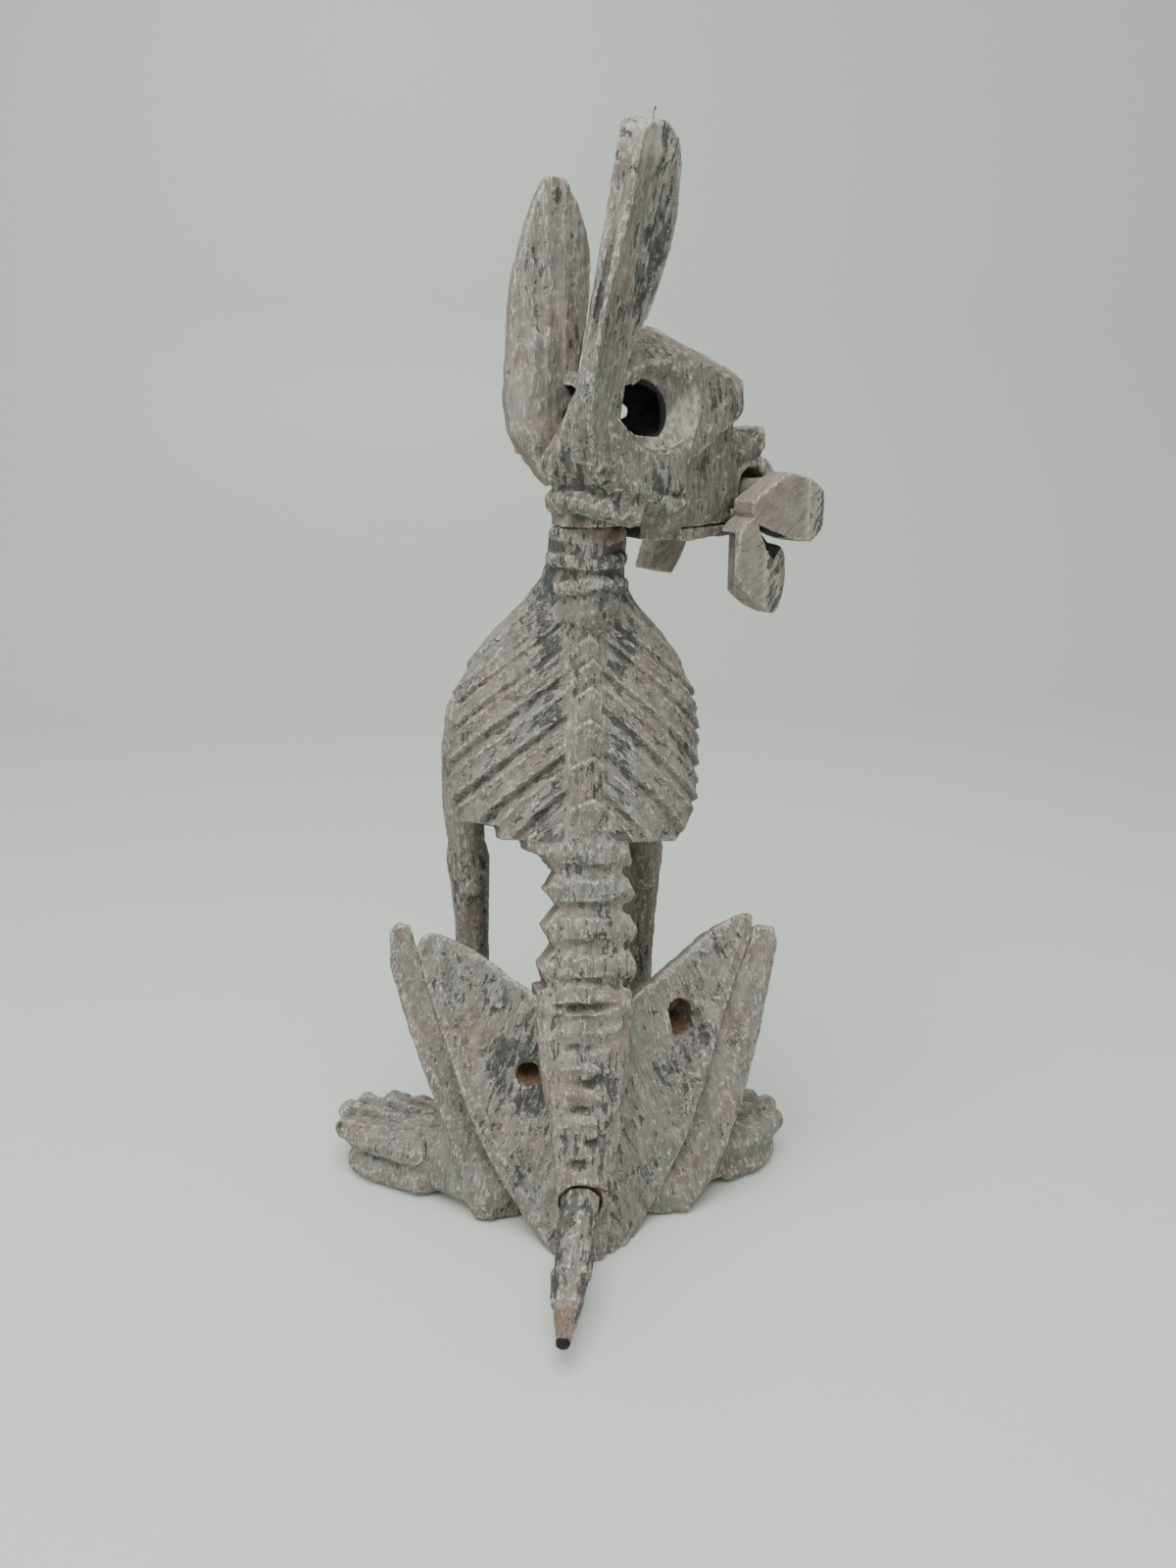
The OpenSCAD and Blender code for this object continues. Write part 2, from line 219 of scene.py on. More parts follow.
def drill(start, end, radius):
    """A straight round hole with flat ends."""
    a, b = np.array(start, float), np.array(end, float)
    length = np.linalg.norm(b - a)
    e = (b - a) / length

    def distance(x, y, z):
        t = (x - a[0]) * e[0] + (y - a[1]) * e[1] + (z - a[2]) * e[2]
        dx, dy, dz = x - a[0] - t * e[0], y - a[1] - t * e[1], z - a[2] - t * e[2]
        around = np.sqrt(dx * dx + dy * dy + dz * dz) - radius
        return np.maximum(around, np.maximum(-t, t - length))

    return Shape(np.minimum(a, b) - radius, np.maximum(a, b) + radius, distance)


def from_line(x, y, z, at, way):
    """How far along a line a point lies, and how far away from it."""
    dx, dy, dz = x - at[0], y - at[1], z - at[2]
    along = dx * way[0] + dy * way[1] + dz * way[2]
    return along, np.sqrt(np.maximum(dx * dx + dy * dy + dz * dz - along * along, 0))


def bump(value, width):
    """A soft hill, 1 at zero."""
    return np.exp(-(value / width) ** 2)


def smooth_min(a, b, soft):
    """The smaller of two fields, rounded over soft mm where they meet."""
    if soft <= 0:
        return np.minimum(a, b)
    h = np.clip(0.5 + 0.5 * (b - a) / soft, 0, 1)
    return b + (a - b) * h - soft * h * (1 - h)


class Block:
    """A block of wood on a grid in its own frame, in mm: shapes are joined to it and cut from it."""

    def __init__(self, place, low, high):
        self.place = place
        self.low = np.array(low, float)
        self.count = np.ceil((np.array(high, float) - self.low) / VOXEL).astype(int) + 1
        self.field = np.full(self.count, AIR, np.float32)

    def window(self, low, high, margin):
        a = np.clip(np.floor((low - margin - self.low) / VOXEL).astype(int), 0, self.count)
        b = np.clip(np.ceil((high + margin - self.low) / VOXEL).astype(int) + 1, 0, self.count)
        lines = [(self.low[i] + VOXEL * np.arange(a[i], b[i])).astype(np.float32) for i in range(3)]
        grid = lines[0][:, None, None], lines[1][None, :, None], lines[2][None, None, :]
        return tuple(slice(i, j) for i, j in zip(a, b)), grid

    def add(self, shape, soft=2.0):
        where, grid = self.window(shape.low, shape.high, soft + AIR)
        self.field[where] = smooth_min(self.field[where], shape.distance(*grid), soft)

    def cut(self, shape, soft=0.8):
        where, grid = self.window(shape.low, shape.high, soft + AIR)
        self.field[where] = -smooth_min(-self.field[where], shape.distance(*grid), soft)

    def level_foot(self):
        """Cuts the block off at the floor."""
        high = self.low + (self.count - 1) * VOXEL
        self.cut(planes([((0, 0, 1), (0, 0, 0))], self.low, np.array([high[0], high[1], 6])), 0.3)

    def push(self, low, high, depth):
        """Moves the surface inwards by depth(x, y, z) mm inside a box."""
        where, grid = self.window(np.array(low, float), np.array(high, float), 0)
        self.field[where] = self.field[where] + depth(*grid)

    def surface(self):
        grid = openvdb.FloatGrid(AIR)
        field = np.pad(np.clip(self.field, -AIR, AIR), 1, constant_values=AIR)
        grid.copyFromArray(field)
        points, quads = grid.convertToQuads(isovalue=0.0)
        return self.low + (points.astype(float) - 1) * VOXEL, quads.astype(np.int64)


# ---------------------------------------------------------------- mesh work

FACET_EASE = 0.25       # how far each point moves to its neighbours' mean after the knife
EDGE_PASSES = 3         # smoothing passes that tell an edge from a face
HOLLOW_PASSES = 14      # further passes that tell a hollow


def neighbours(quads):
    """Pairs of joined points, each pair both ways."""
    edges = np.concatenate([quads[:, [i, (i + 1) % 4]] for i in range(4)])
    return np.concatenate([edges, edges[:, ::-1]])


def neighbour_mean(values, pairs, count):
    """The mean of each point's neighbours."""
    totals = np.stack([np.bincount(pairs[:, 0], values[pairs[:, 1], k], count)
                       for k in range(values.shape[1])], 1)
    return totals / np.maximum(np.bincount(pairs[:, 0], minlength=count), 1)[:, None]


def vertex_normals(points, quads):
    """Unit normals of the points of a quad mesh."""
    face = np.cross(points[quads[:, 2]] - points[quads[:, 0]], points[quads[:, 3]] - points[quads[:, 1]])
    total = np.stack([sum(np.bincount(quads[:, i], face[:, k], len(points)) for i in range(4))
                      for k in range(3)], 1)
    return total / (np.linalg.norm(total, axis=1, keepdims=True) + 1e-9)


def knife_facets(points, normals, rng, size, depth, grain_axis=2, stretch=1.6):
    """Flattens the surface in patches of about size mm, as knife and chisel cuts leave it."""
    scale = np.ones(3)
    scale[grain_axis] = 1 / stretch
    cells = {}
    order = rng.permutation(len(points))
    keys = np.floor(points * scale / size + rng.random(3)).astype(int)
    for i in order:
        cells.setdefault(tuple(keys[i]), i)
    seeds = np.array(sorted(cells.values()))
    tree = KDTree(len(seeds))
    for n, i in enumerate(seeds):
        tree.insert(points[i] * scale, n)
    tree.balance()
    nearest = seeds[[tree.find(p)[1] for p in points * scale]]
    offset = np.einsum("ij,ij->i", points - points[nearest], normals[nearest])
    facing = np.clip(np.einsum("ij,ij->i", normals, normals[nearest]) * 2 - 1, 0, 1)
    return points - normals[nearest] * (np.clip(offset, -depth, depth) * facing)[:, None]


def wood_mesh(name, points, quads, layers):
    """A mesh in metres from points in mm, with float or vector layers for its material."""
    mesh = bpy.data.meshes.new(name)
    mesh.vertices.add(len(points))
    mesh.vertices.foreach_set("co", (points * MM).astype(np.float32).ravel())
    mesh.loops.add(quads.size)
    mesh.loops.foreach_set("vertex_index", quads.astype(np.int32).ravel())
    mesh.polygons.add(len(quads))
    mesh.polygons.foreach_set("loop_start", np.arange(0, quads.size, 4, dtype=np.int32))
    mesh.polygons.foreach_set("loop_total", np.full(len(quads), 4, dtype=np.int32))
    mesh.update(calc_edges=True)
    mesh.validate()
    mesh.polygons.foreach_set("use_smooth", np.ones(len(mesh.polygons), bool))
    for label, values in layers.items():
        kind = "FLOAT_VECTOR" if values.ndim == 2 else "FLOAT"
        layer = mesh.attributes.new(label, kind, "POINT")
        layer.data.foreach_set("vector" if values.ndim == 2 else "value", values.astype(np.float32).ravel())
    return mesh


def largest_part(points, quads):
    """Drops loose chips that cutting may have left."""
    label = np.arange(len(points))
    pairs = neighbours(quads)
    while True:
        low = label.copy()
        np.minimum.at(low, pairs[:, 0], label[pairs[:, 1]])
        low = low[low]
        if (low == label).all():
            break
        label = low
    names, sizes = np.unique(label, return_counts=True)
    main = names[sizes.argmax()]
    keep = label == main
    index = np.cumsum(keep) - 1
    return points[keep], index[quads[keep[quads[:, 0]]]]


def finish_piece(name, block, body, node, material, seed, facet=6.0, facet_depth=0.7, rough=0.18,
                 grain=None, raw=None, dark=None, pale=None, floor=False):
    """Turns a block into a piece: knife facets, small unevenness, layers for the paint, and its place.
    raw, dark and pale paint by place in the block's own frame, and floor keeps the piece above the floor."""
    rng = np.random.default_rng(seed)
    points, quads = block.surface()
    points, quads = largest_part(points, quads)
    pairs = neighbours(quads)
    normals = vertex_normals(points, quads)
    if facet:
        points = knife_facets(points, normals, rng, facet, facet_depth)
        points = points * (1 - FACET_EASE) + neighbour_mean(points, pairs, len(points)) * FACET_EASE
        normals = vertex_normals(points, quads)
    waves = sum(np.sin(points @ (rng.normal(size=3) * f) + rng.random() * 6.3) * rough * 0.35
                for f in (0.25, 0.4, 0.6, 0.9))
    points = points + normals * waves[:, None]
    soft = points
    for _ in range(EDGE_PASSES):
        soft = neighbour_mean(soft, pairs, len(points))
    normals = vertex_normals(points, quads)
    edge = np.einsum("ij,ij->i", points - soft, normals) / VOXEL
    for _ in range(HOLLOW_PASSES):
        soft = neighbour_mean(soft, pairs, len(points))
    hollow = np.einsum("ij,ij->i", soft - points, normals) / VOXEL
    figure = block.place.out(points)
    if floor:
        figure[:, 2] = np.maximum(figure[:, 2], 0)
    if grain is None:
        lines = points
    else:
        lines = grain(points) if callable(grain) else points @ grain

    def painted(paint):
        return np.zeros(len(points)) if paint is None else paint(*points.T)

    layers = {"grain": lines * MM + rng.random(3),
              "edge": np.clip(edge * 2.2, -1, 1),
              "hollow": np.clip(hollow * 1.1, -1, 1),
              "raw": painted(raw),
              "pale": painted(pale),
              "dark": painted(dark)}
    piece = bpy.data.objects.new(name, wood_mesh(name, figure, quads, layers))
    bpy.context.scene.collection.objects.link(piece)
    piece.data.materials.append(material)
    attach(piece, body)
    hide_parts(node)
    return piece


# ---------------------------------------------------------------- materials


class Nodes:
    """Small helper that adds shader nodes and joins them."""

    def __init__(self, name):
        self.material = bpy.data.materials.new(name)
        self.material.use_nodes = True
        self.tree = self.material.node_tree
        self.tree.nodes.clear()

    def node(self, kind, inputs=None, **settings):
        made = self.tree.nodes.new("ShaderNode" + kind)
        for key, value in settings.items():
            setattr(made, key, value)
        for key, value in (inputs or {}).items():
            if isinstance(value, bpy.types.NodeSocket):
                self.tree.links.new(value, made.inputs[key])
            else:
                made.inputs[key].default_value = value
        return made

    def layer(self, label, output="Fac"):
        return self.node("Attribute", attribute_name=label, attribute_type="GEOMETRY").outputs[output]

    def math(self, operation, a, b=0.0, clamp=False):
        return self.node("Math", {0: a, 1: b}, operation=operation, use_clamp=clamp).outputs[0]

    def times(self, a, b):
        return self.math("MULTIPLY", a, b)

    def plus(self, a, b):
        return self.math("ADD", a, b)

    def ramp(self, value, low, high, out_low=0.0, out_high=1.0):
        """Smoothly maps low..high to out_low..out_high."""
        return self.node("MapRange", {"Value": value, "From Min": low, "From Max": high, "To Min": out_low,
                                      "To Max": out_high}, interpolation_type="SMOOTHSTEP").outputs[0]

    def stretch(self, vector, x, y, z):
        return self.node("Mapping", {"Vector": vector, "Scale": (x, y, z)}).outputs[0]

    def noise(self, vector, scale, detail=4.0, roughness=0.55, distortion=0.0):
        return self.node("TexNoise", {"Vector": vector, "Scale": scale, "Detail": detail,
                                      "Roughness": roughness, "Distortion": distortion}).outputs[0]

    def mix(self, amount, a, b, blend="MIX"):
        made = self.node("Mix", data_type="RGBA", blend_type=blend)
        for socket, value in ((made.inputs[0], amount), (made.inputs[6], a), (made.inputs[7], b)):
            if isinstance(value, bpy.types.NodeSocket):
                self.tree.links.new(value, socket)
            else:
                socket.default_value = value if not isinstance(value, tuple) else (*value, 1.0)
        return made.outputs[2]


FILM = (0.375, 0.35, 0.315)
HATCH = (0.56, 0.54, 0.51)
SCRATCH = (0.085, 0.08, 0.07)
CHALK = (0.60, 0.57, 0.525)
# clean wood at chips and end grain, and painted light on the upturned lip of each eye bowl
CLEAN_WOOD_AND_PAINTED_LIGHT = (0.50, 0.465, 0.40)
# painted shade, laid into the hollows and cuts
CUT_SHADE = (0.075, 0.07, 0.062)
# black: on the tail's painted tip and in the bone's notch, and as painted shade inside the skull's holes
BLACK_PAINT_AND_HOLE_SHADE = (0.008, 0.008, 0.009)
DARK_PAINT = (0.036, 0.037, 0.038), (0.085, 0.088, 0.084)
BARE_WOOD = (0.06, 0.030, 0.018), (0.27, 0.17, 0.105)


def limewashed_wood(name, base=(0.198, 0.163, 0.133), cool=(0.188, 0.178, 0.158), flakes=0.0, chips=1.0,
                    wash=1.0, crumble=1.0):
    """Grey-brown wood under thin limewash, with dark paint showing in flakes that have chalky rims."""
    n = Nodes(name)
    grain = n.layer("grain", "Vector")
    hollow, edge, dark, raw = n.layer("hollow"), n.layer("edge"), n.layer("dark"), n.layer("raw")

    def streaks(along, *noise):
        """Noise drawn out along the grain: 1 is even, smaller is longer."""
        return n.noise(n.stretch(grain, 1, 1, along), *noise)

    # body colour: warm taupe and cool grey in soft clouds, a rosy tint here and there, darker streaks
    colour = n.mix(n.ramp(n.noise(grain, 38, 3), 0.38, 0.62), base, cool)
    rosy = n.ramp(streaks(0.45, 50, 2), 0.52, 0.72)
    colour = n.mix(n.times(rosy, 0.35), colour, tuple(c * k for c, k in zip(base, (1.22, 1.0, 0.92))))
    shade = n.ramp(streaks(0.12, 260, 5, 0.65), 0.28, 0.66, 0.66, 1.2)
    colour = n.mix(1.0, colour, n.node("CombineColor", {0: shade, 1: shade, 2: shade}).outputs[0], "MULTIPLY")
    # limewash left in soft patches, and as thin hatch lines along the grain
    washed = streaks(0.3, 150, 5, 0.65)
    film = n.times(n.ramp(washed, 0.42, 0.70), 0.32 * wash)
    colour = n.mix(film, colour, FILM)
    lines = streaks(0.06, 1700, 3, 0.6)
    hatch = n.times(n.ramp(lines, 0.53, 0.58), n.ramp(n.noise(grain, 260, 3), 0.46, 0.58))
    colour = n.mix(n.times(hatch, 0.55 * wash), colour, HATCH)
    scratch = n.times(n.ramp(streaks(0.05, 1150, 2, 0.5), 0.43, 0.36), n.ramp(washed, 0.56, 0.44))
    colour = n.mix(n.times(scratch, 0.6), colour, SCRATCH)
    # flakes of dark paint in clusters: shapes broken up by crumbs, commoner in hollows
    clusters = streaks(0.5, 74, 2)
    shapes = streaks(0.27, 420, 3, 0.6, 0.4)
    crumbs = streaks(0.4, 1500, 4, 0.75)
    level = n.plus(shapes, n.times(n.math("SUBTRACT", clusters, 0.5), 0.62))
    level = n.plus(level, n.times(n.math("SUBTRACT", crumbs, 0.5), 0.42))
    level = n.plus(level, n.times(hollow, 0.08))
    level = n.plus(level, n.plus(n.times(dark, 0.17), flakes))
    chalky = n.ramp(streaks(0.5, 2400, 3, 0.7), 0.49, 0.56)
    rim = n.times(n.ramp(level, 0.555, 0.600), chalky)
    worn = n.times(n.ramp(edge, 0.10, 0.5), n.ramp(streaks(0.4, 900, 4, 0.7), 0.48, 0.58))
    chalk = n.math("MAXIMUM", n.times(rim, 0.75 * chips), n.times(worn, 0.75 * crumble))
    colour = n.mix(chalk, colour, CHALK)
    # clean wood at chips and end grain, and painted light where the pale layer marks the lit lip of an eye
    # bowl
    pale = n.times(n.layer("pale"), n.ramp(streaks(0.5, 450, 4, 0.6), 0.40, 0.58, 0.35, 1.0))
    colour = n.mix(pale, colour, CLEAN_WOOD_AND_PAINTED_LIGHT)
    patch = n.times(n.ramp(level, 0.604, 0.620), n.ramp(crumbs, 0.34, 0.42, 0.3, 1.0))
    deep = n.mix(n.ramp(n.noise(grain, 260, 2), 0.4, 0.6), *DARK_PAINT)
    colour = n.mix(n.times(patch, 0.94), colour, deep)
    # painted shade in the cuts, bare brown wood where a drill or saw left it, and black on the tail's tip, in
    # the bone's notch and, as painted shade, inside the skull's holes
    colour = n.mix(n.ramp(hollow, 0.30, 1.0, 0.0, 0.5), colour, CUT_SHADE)
    bare = n.mix(streaks(0.3, 500, 4), *BARE_WOOD)
    colour = n.mix(raw, colour, bare)
    colour = n.mix(n.ramp(dark, 2.4, 3.2), colour, BLACK_PAINT_AND_HOLE_SHADE)
    # relief: grain lines, sunken flakes and fine crumbs
    height = n.math("SUBTRACT", n.times(lines, 0.35), n.times(patch, 0.9))
    height = n.plus(height, n.times(crumbs, 0.5))
    height = n.plus(height, n.times(washed, 0.7))
    normal = n.node("Bump", {"Strength": 0.6, "Distance": 0.0006, "Height": height}).outputs[0]
    roughness = n.ramp(n.math("SUBTRACT", washed, n.times(patch, 0.3)), 0.2, 0.7, 0.64, 0.9)
    shader = n.node("BsdfPrincipled", {"Base Color": colour, "Roughness": roughness, "Normal": normal,
                                       "Specular IOR Level": 0.3})
    n.tree.links.new(shader.outputs[0], n.node("OutputMaterial").inputs[0])
    return n.material


def bare_dowel(name):
    """Plain turned hardwood, for the pins inside."""
    n = Nodes(name)
    place = n.node("TexCoord").outputs["Object"]
    grain = n.noise(n.stretch(place, 1, 1, 0.2), 500, 4)
    colour = n.mix(grain, (0.24, 0.13, 0.065), (0.42, 0.27, 0.15))
    bump = n.node("Bump", {"Strength": 0.3, "Distance": 0.0002, "Height": grain}).outputs[0]
    shader = n.node("BsdfPrincipled", {"Base Color": colour, "Roughness": n.ramp(grain, 0.2, 0.8, 0.5, 0.7),
                                       "Normal": bump})
    n.tree.links.new(shader.outputs[0], n.node("OutputMaterial").inputs[0])
    return n.material


WOOD = limewashed_wood("limewashed_wood")
LIGHT_WOOD = limewashed_wood("limewashed_wood_clean", flakes=-0.035)
DARK_WOOD = limewashed_wood("limewashed_wood_rubbed", flakes=0.07, chips=1.2, crumble=1.2)
SKULL_WOOD = limewashed_wood("limewashed_wood_warm", base=(0.155, 0.127, 0.10), cool=(0.165, 0.154, 0.132),
                             wash=0.8)
BONE_WOOD = limewashed_wood("bone_wood", base=(0.25, 0.212, 0.184), cool=(0.262, 0.228, 0.2), flakes=-0.13,
                            wash=0.3, chips=1.25)
DOWEL = bare_dowel("turned_dowel")
for node_name, cad in frame["nodes"].items():
    if node_name.endswith("dowel") or node_name.endswith("peg"):
        cad.data.materials.clear()
        cad.data.materials.append(DOWEL)

# ---------------------------------------------------------------- trunk, in the spine frame

# height up the spine, half width and half depth of the rib cage
CAGE = np.array([(178, 30, 22), (188, 43, 30), (198, 54, 36), (212, 60, 40), (232, 61.5, 42),
                 (252, 61.5, 41), (268, 59, 38), (282, 51, 33), (296, 39, 26), (308, 26.5, 20),
                 (320, 18, 16), (330, 15, 14)], float)
# crests between the ribs where they leave the spine, and how deep the hollow under each one is
CRESTS = {1: np.array([(330, 0.6), (317, 0.9), (309, 2.0), (304, 0.5), (297, 1.9), (291.5, 0.6), (282, 2.5),
                       (273, 0.7), (262.5, 3.4), (255, 0.8), (244.5, 4.0), (236, 1.0), (226, 4.0),
                       (218.5, 0.9), (209, 3.4), (202, 1.0), (192, 2.6), (180, 1.0), (150, 1.0)], float),
          -1: np.array([(330, 0.6), (315, 1.8), (307, 0.5), (298, 1.9), (291, 0.7), (281, 2.2), (272, 0.8),
                        (264, 2.4), (256, 0.6), (246, 2.6), (237, 0.8), (227, 2.4), (219, 0.8), (208, 2.4),
                        (198, 1.0), (182, 1.5), (165, 1.2), (150, 1.0)], float)}
# spinous plates: top, middle, half width, and how far the point stands to the right of the middle
PLATES = ((309.5, 1, 4.6, 0), (300.5, -0.5, 5, 0.6), (290, -1.5, 5.2, 0.4), (279, -2.5, 5.4, 1.2),
          (266.5, -2, 6, 1), (251.5, -1.5, 7, 0.5), (234.5, -1, 7.6, 3.2), (215.5, -1, 8.4, 2.8))
PLATES_FOOT = 199


def cage_section(z):
    """Half width and half depth of the rib cage at a height."""
    return np.interp(z, CAGE[:, 0], CAGE[:, 1]), np.interp(z, CAGE[:, 0], CAGE[:, 2])


def cage_distance(x, y, z):
    """Distance from the smooth rib cage, before its ribs are cut."""
    width, depth = cage_section(z)
    qx, qy = x / width, (y + depth + 3) / depth
    q = (abs(qx) ** 1.85 + abs(qy) ** 1.85) ** (1 / 1.85)
    return (q - 1) * np.minimum(width, depth) * 0.9


def crest_height(x, y, z):
    """The height at which the rib through a point leaves the spine."""
    width, depth = cage_section(z)
    around = np.arctan2(abs(x) / width, (y + depth + 3) / depth)
    drop = np.where(around < math.pi / 2, 44 * np.sin(around) + 4 * (1 - np.cos(around)),
                    48 - 18 * (1 - np.sin(around)))
    wander = 1.3 * np.sin(z * 0.05 + np.where(x > 0, 1.1, 4.0)) + 1.0 * np.sin(around * 3.1 + z * 0.03)
    return z + drop + wander


def rib_depth(x, y, z):
    """How deep the gouge cuts between the crests go at a point."""
    height = crest_height(x, y, z)
    total = 0
    for side, crests in CRESTS.items():
        lines = crests[::-1]
        step = np.interp(height, lines[:, 0], np.arange(len(lines)))
        t = 1 - (step - np.floor(step))
        deep = lines[np.clip(np.ceil(step).astype(int), 0, len(lines) - 1), 1]
        # a steep drop just under a crest, then a long flat cut up to the next one
        cut = (0.68 * deep * np.where(t < 0.26, np.sin(t / 0.26 * math.pi / 2), ((1 - t) / 0.74) ** 0.9)
               - 0.6 * bump(t, 0.07) - 0.6 * bump(t - 1, 0.07))
        total = total + np.where(x * side > 0, cut, 0)
    beside = np.clip((abs(x) - 6) / 5, 0, 1)
    return total * beside * np.clip((z - 184) / 8, 0, 1) * np.clip((322 - z) / 14, 0, 1)


def ring_distance(centre, normal, radius, thick, wobble):
    """A ring of the neck, cut unevenly by hand."""
    def distance(x, y, z):
        along, around = from_line(x, y, z, centre, normal)
        angle = np.arctan2(y - centre[1], x - centre[0])
        lip = radius - thick + wobble * np.sin(angle * 3 + wobble * 5)
        rise = along + 1.2 * wobble * np.sin(angle * 2 + 1)
        return np.sqrt(np.maximum(around - lip, 0) ** 2 + (rise * 0.8) ** 2) - thick
    return distance


# ridges over the sacrum: height and half length
RIDGES = ((129, 19), (110.8, 18), (94, 17), (82.4, 14), (70, 12), (44, 8))
# dents between the ridges: height, half length and bend, and where along each one it is deepest
DENTS = ((121.5, 15, 0.03), (103.4, 14.5, -0.05), (87.6, 14.5, 0.05), (76, 12, 0.12), (61, 11, 0.32),
         (51.5, 9, 0.42), (39, 8, 0.2))
DENT_POINTS = (5, 7, -3, 3, -4.5, 4, -4)


def sacrum_middle(a, b):
    """The middle of the sacrum's board, lower to the sides and at the foot."""
    return -19.5 - 0.014 * a * a - 0.008 * (120 - b) - 0.28 * np.maximum(40 - b, 0)


def carve_cage(block):
    """The rib cage and shoulders, the cuts between the ribs, and the steps below."""
    block.add(Shape((-66, -100, 170), (66, 4, 334), cage_distance), 0)
    # shoulders run up into the neck
    block.add(bar([(0, -34, 290), (-2, -26, 312), (-6, -18, 336)], [19, 17, 15]), 8)
    block.push((-74, -104, 178), (74, 12, 330), rib_depth)
    # the cage ends below in steps, the last ribs standing over each other
    block.cut(plate([(80, 140), (80, 206), (49, 205), (38, 203), (37.5, 197), (26, 196.5), (25, 192),
                     (17, 189), (12, 182), (0, 182), (0, 190), (-16, 195.5), (-47, 196), (-53, 204),
                     (-58, 213), (-80, 222), (-80, 140)], "xz", -46, 60, 0.5), 0.6)
    # channels down both sides of the ridge
    for s in (1, -1):
        block.cut(bar([(s * 15, 3, 300), (s * 16, 3.5, 262), (s * 15, 4.5, 214)], [3.5, 5.5, 5]), 3.5)


def carve_plates(block):
    """Spinous plates, each top edge standing over the one above."""
    for (top, centre, half, aside), below in zip(PLATES, [row[0] for row in PLATES[1:]] + [PLATES_FOOT]):
        apex = centre - aside
        outline = [(apex, top), (centre + half, top - 4.6), (centre + half - 0.6, below - 5),
                   (centre - half + 0.6, below - 5), (centre - half, top - 4.2)]
        lift = 0.34 if top - below < 13 else 0.26
        block.add(plate(outline, "xz", lambda a, b: -5.2 + lift * (b - top) - 0.02 * (a + 1.5) ** 2, 6.4,
                        0.6), 0.3)
        block.cut(bar([(centre - half - 1, 0.6, top - 3.0), (apex, 1.2, top + 1.3),
                       (centre + half + 1, 0.6, top - 3.4)], 1.5), 0.3)


def carve_lumbar(block):
    """Lumbar vertebrae: one column, pointed at the sides, only shallow bands across the back."""
    left = [(16, 204), (15, 197), (17.4, 190), (12.8, 182), (17.6, 174), (11.4, 166), (18.8, 157),
            (13.6, 148), (20.5, 139), (17.5, 130.5), (21.5, 124), (20, 110)]
    right = [(-20, 204), (-20.5, 194), (-22.5, 186), (-19.5, 180), (-23.5, 172.5), (-20, 164), (-25, 155),
             (-21, 147), (-24.6, 137), (-21, 129), (-22.6, 118), (-20, 110)]
    block.add(plate(left + right[::-1], "xz",
                    lambda a, b: -15.5 - 0.014 * a * a + 1.3 * np.cos((b - 157) * 2 * math.pi / 17.3),
                    14.5, 1.6), 1.0)
    for i in range(5):
        z = 190.5 - i * 17.0
        block.add(plate([(-20, z), (-12, z + 5), (10, z + 5.5), (19, z + 1), (12, z - 4.4), (-11, z - 4.8)],
                        "xz", lambda a, b: -12 - 0.017 * a * a, 12.6, 1.2), 1.0)
        block.cut(bar([(-9, 1.9, z - 7.6), (0, 2.1, z - 8.6), (9, 1.9, z - 7.8)], [1.2, 2.4, 1.2]), 1.2)
        block.cut(bar([(-5, 2.2, z + 2.4), (6, 2.1, z + 1.6)], [1.2, 1.4]), 0.9)
        # a groove on either flank
        for s in (1, -1):
            block.cut(bar([(s * 24, -2, z - 8.6), (s * 18, -12, z - 8), (s * 20, -24, z - 8)], 2.6), 1.6)


def carve_sacrum(block):
    """Tapering, flush with the thighs, ridged across, its cuts turning to V shapes lower down."""
    sacrum = [(-22.5, 128), (-21.5, 112), (-21, 98), (-19, 84), (-16.6, 70), (-14.5, 54), (-12.5, 38),
              (-12, 22), (-10, 4), (0, -5), (10, 4), (12.5, 22), (12.5, 38), (14.2, 54), (16, 70),
              (18.6, 84), (20.5, 98), (21, 112), (21.5, 128), (0, 132)]
    block.add(plate(sacrum, "xz", sacrum_middle, 18, 2.5), 1.2)
    for i, (z, half) in enumerate(RIDGES):
        tilt = (0.05, -0.07, 0.03, 0.08, -0.06, 0.0)[i]
        block.add(bar([(x, sacrum_middle(x, z) + 16.6, z + tilt * x + (0.6, -0.9, 0.5, 0.8, -0.7)[k]
                        - 0.005 * x * x) for k, x in enumerate(np.linspace(-half, half, 5))],
                      [1.6, 2.4, 3.0, 2.5, 1.6]), 1.6)
    for i, (z, half, bend) in enumerate(DENTS):
        arc = [(x, sacrum_middle(x, z) + 19.5, z + bend * x * x / half) for x in np.linspace(-half, half, 7)]
        block.cut(bar(arc, [1.0, 2.2, 2.5, 1.9, 2.5, 1.9, 1.0]), 0.8)
        block.cut(ball((DENT_POINTS[i], sacrum_middle(DENT_POINTS[i], z) + 18.6, z - 0.4), (6.2, 2.9, 2.4)),
                  0.5)


def carve_neck(block):
    """Three rings round an upright neck, sawn level at the top."""
    neck_foot = SPINE.into(np.array([neck[0], neck[1], 286.0]))
    neck_top = SPINE.into(np.array([neck[0], neck[1], NECK_SEAT]))
    up = (neck_top - neck_foot) / np.linalg.norm(neck_top - neck_foot)
    block.add(bar([neck_foot, neck_top + up * 6], [15.5, 13.8]), 4)
    for i, (height, radius) in enumerate(((9.5, 18.0), (20.5, 18.6), (31.5, 17.4))):
        at = neck_foot + up * height
        block.add(Shape(at - 26, at + 26, ring_distance(at, up, radius, 2.6, 0.9 * math.cos(i * 2))), 1.2)
    block.cut(planes([(-up, neck_top)], neck_top - 40, neck_top + 40), 0.3)


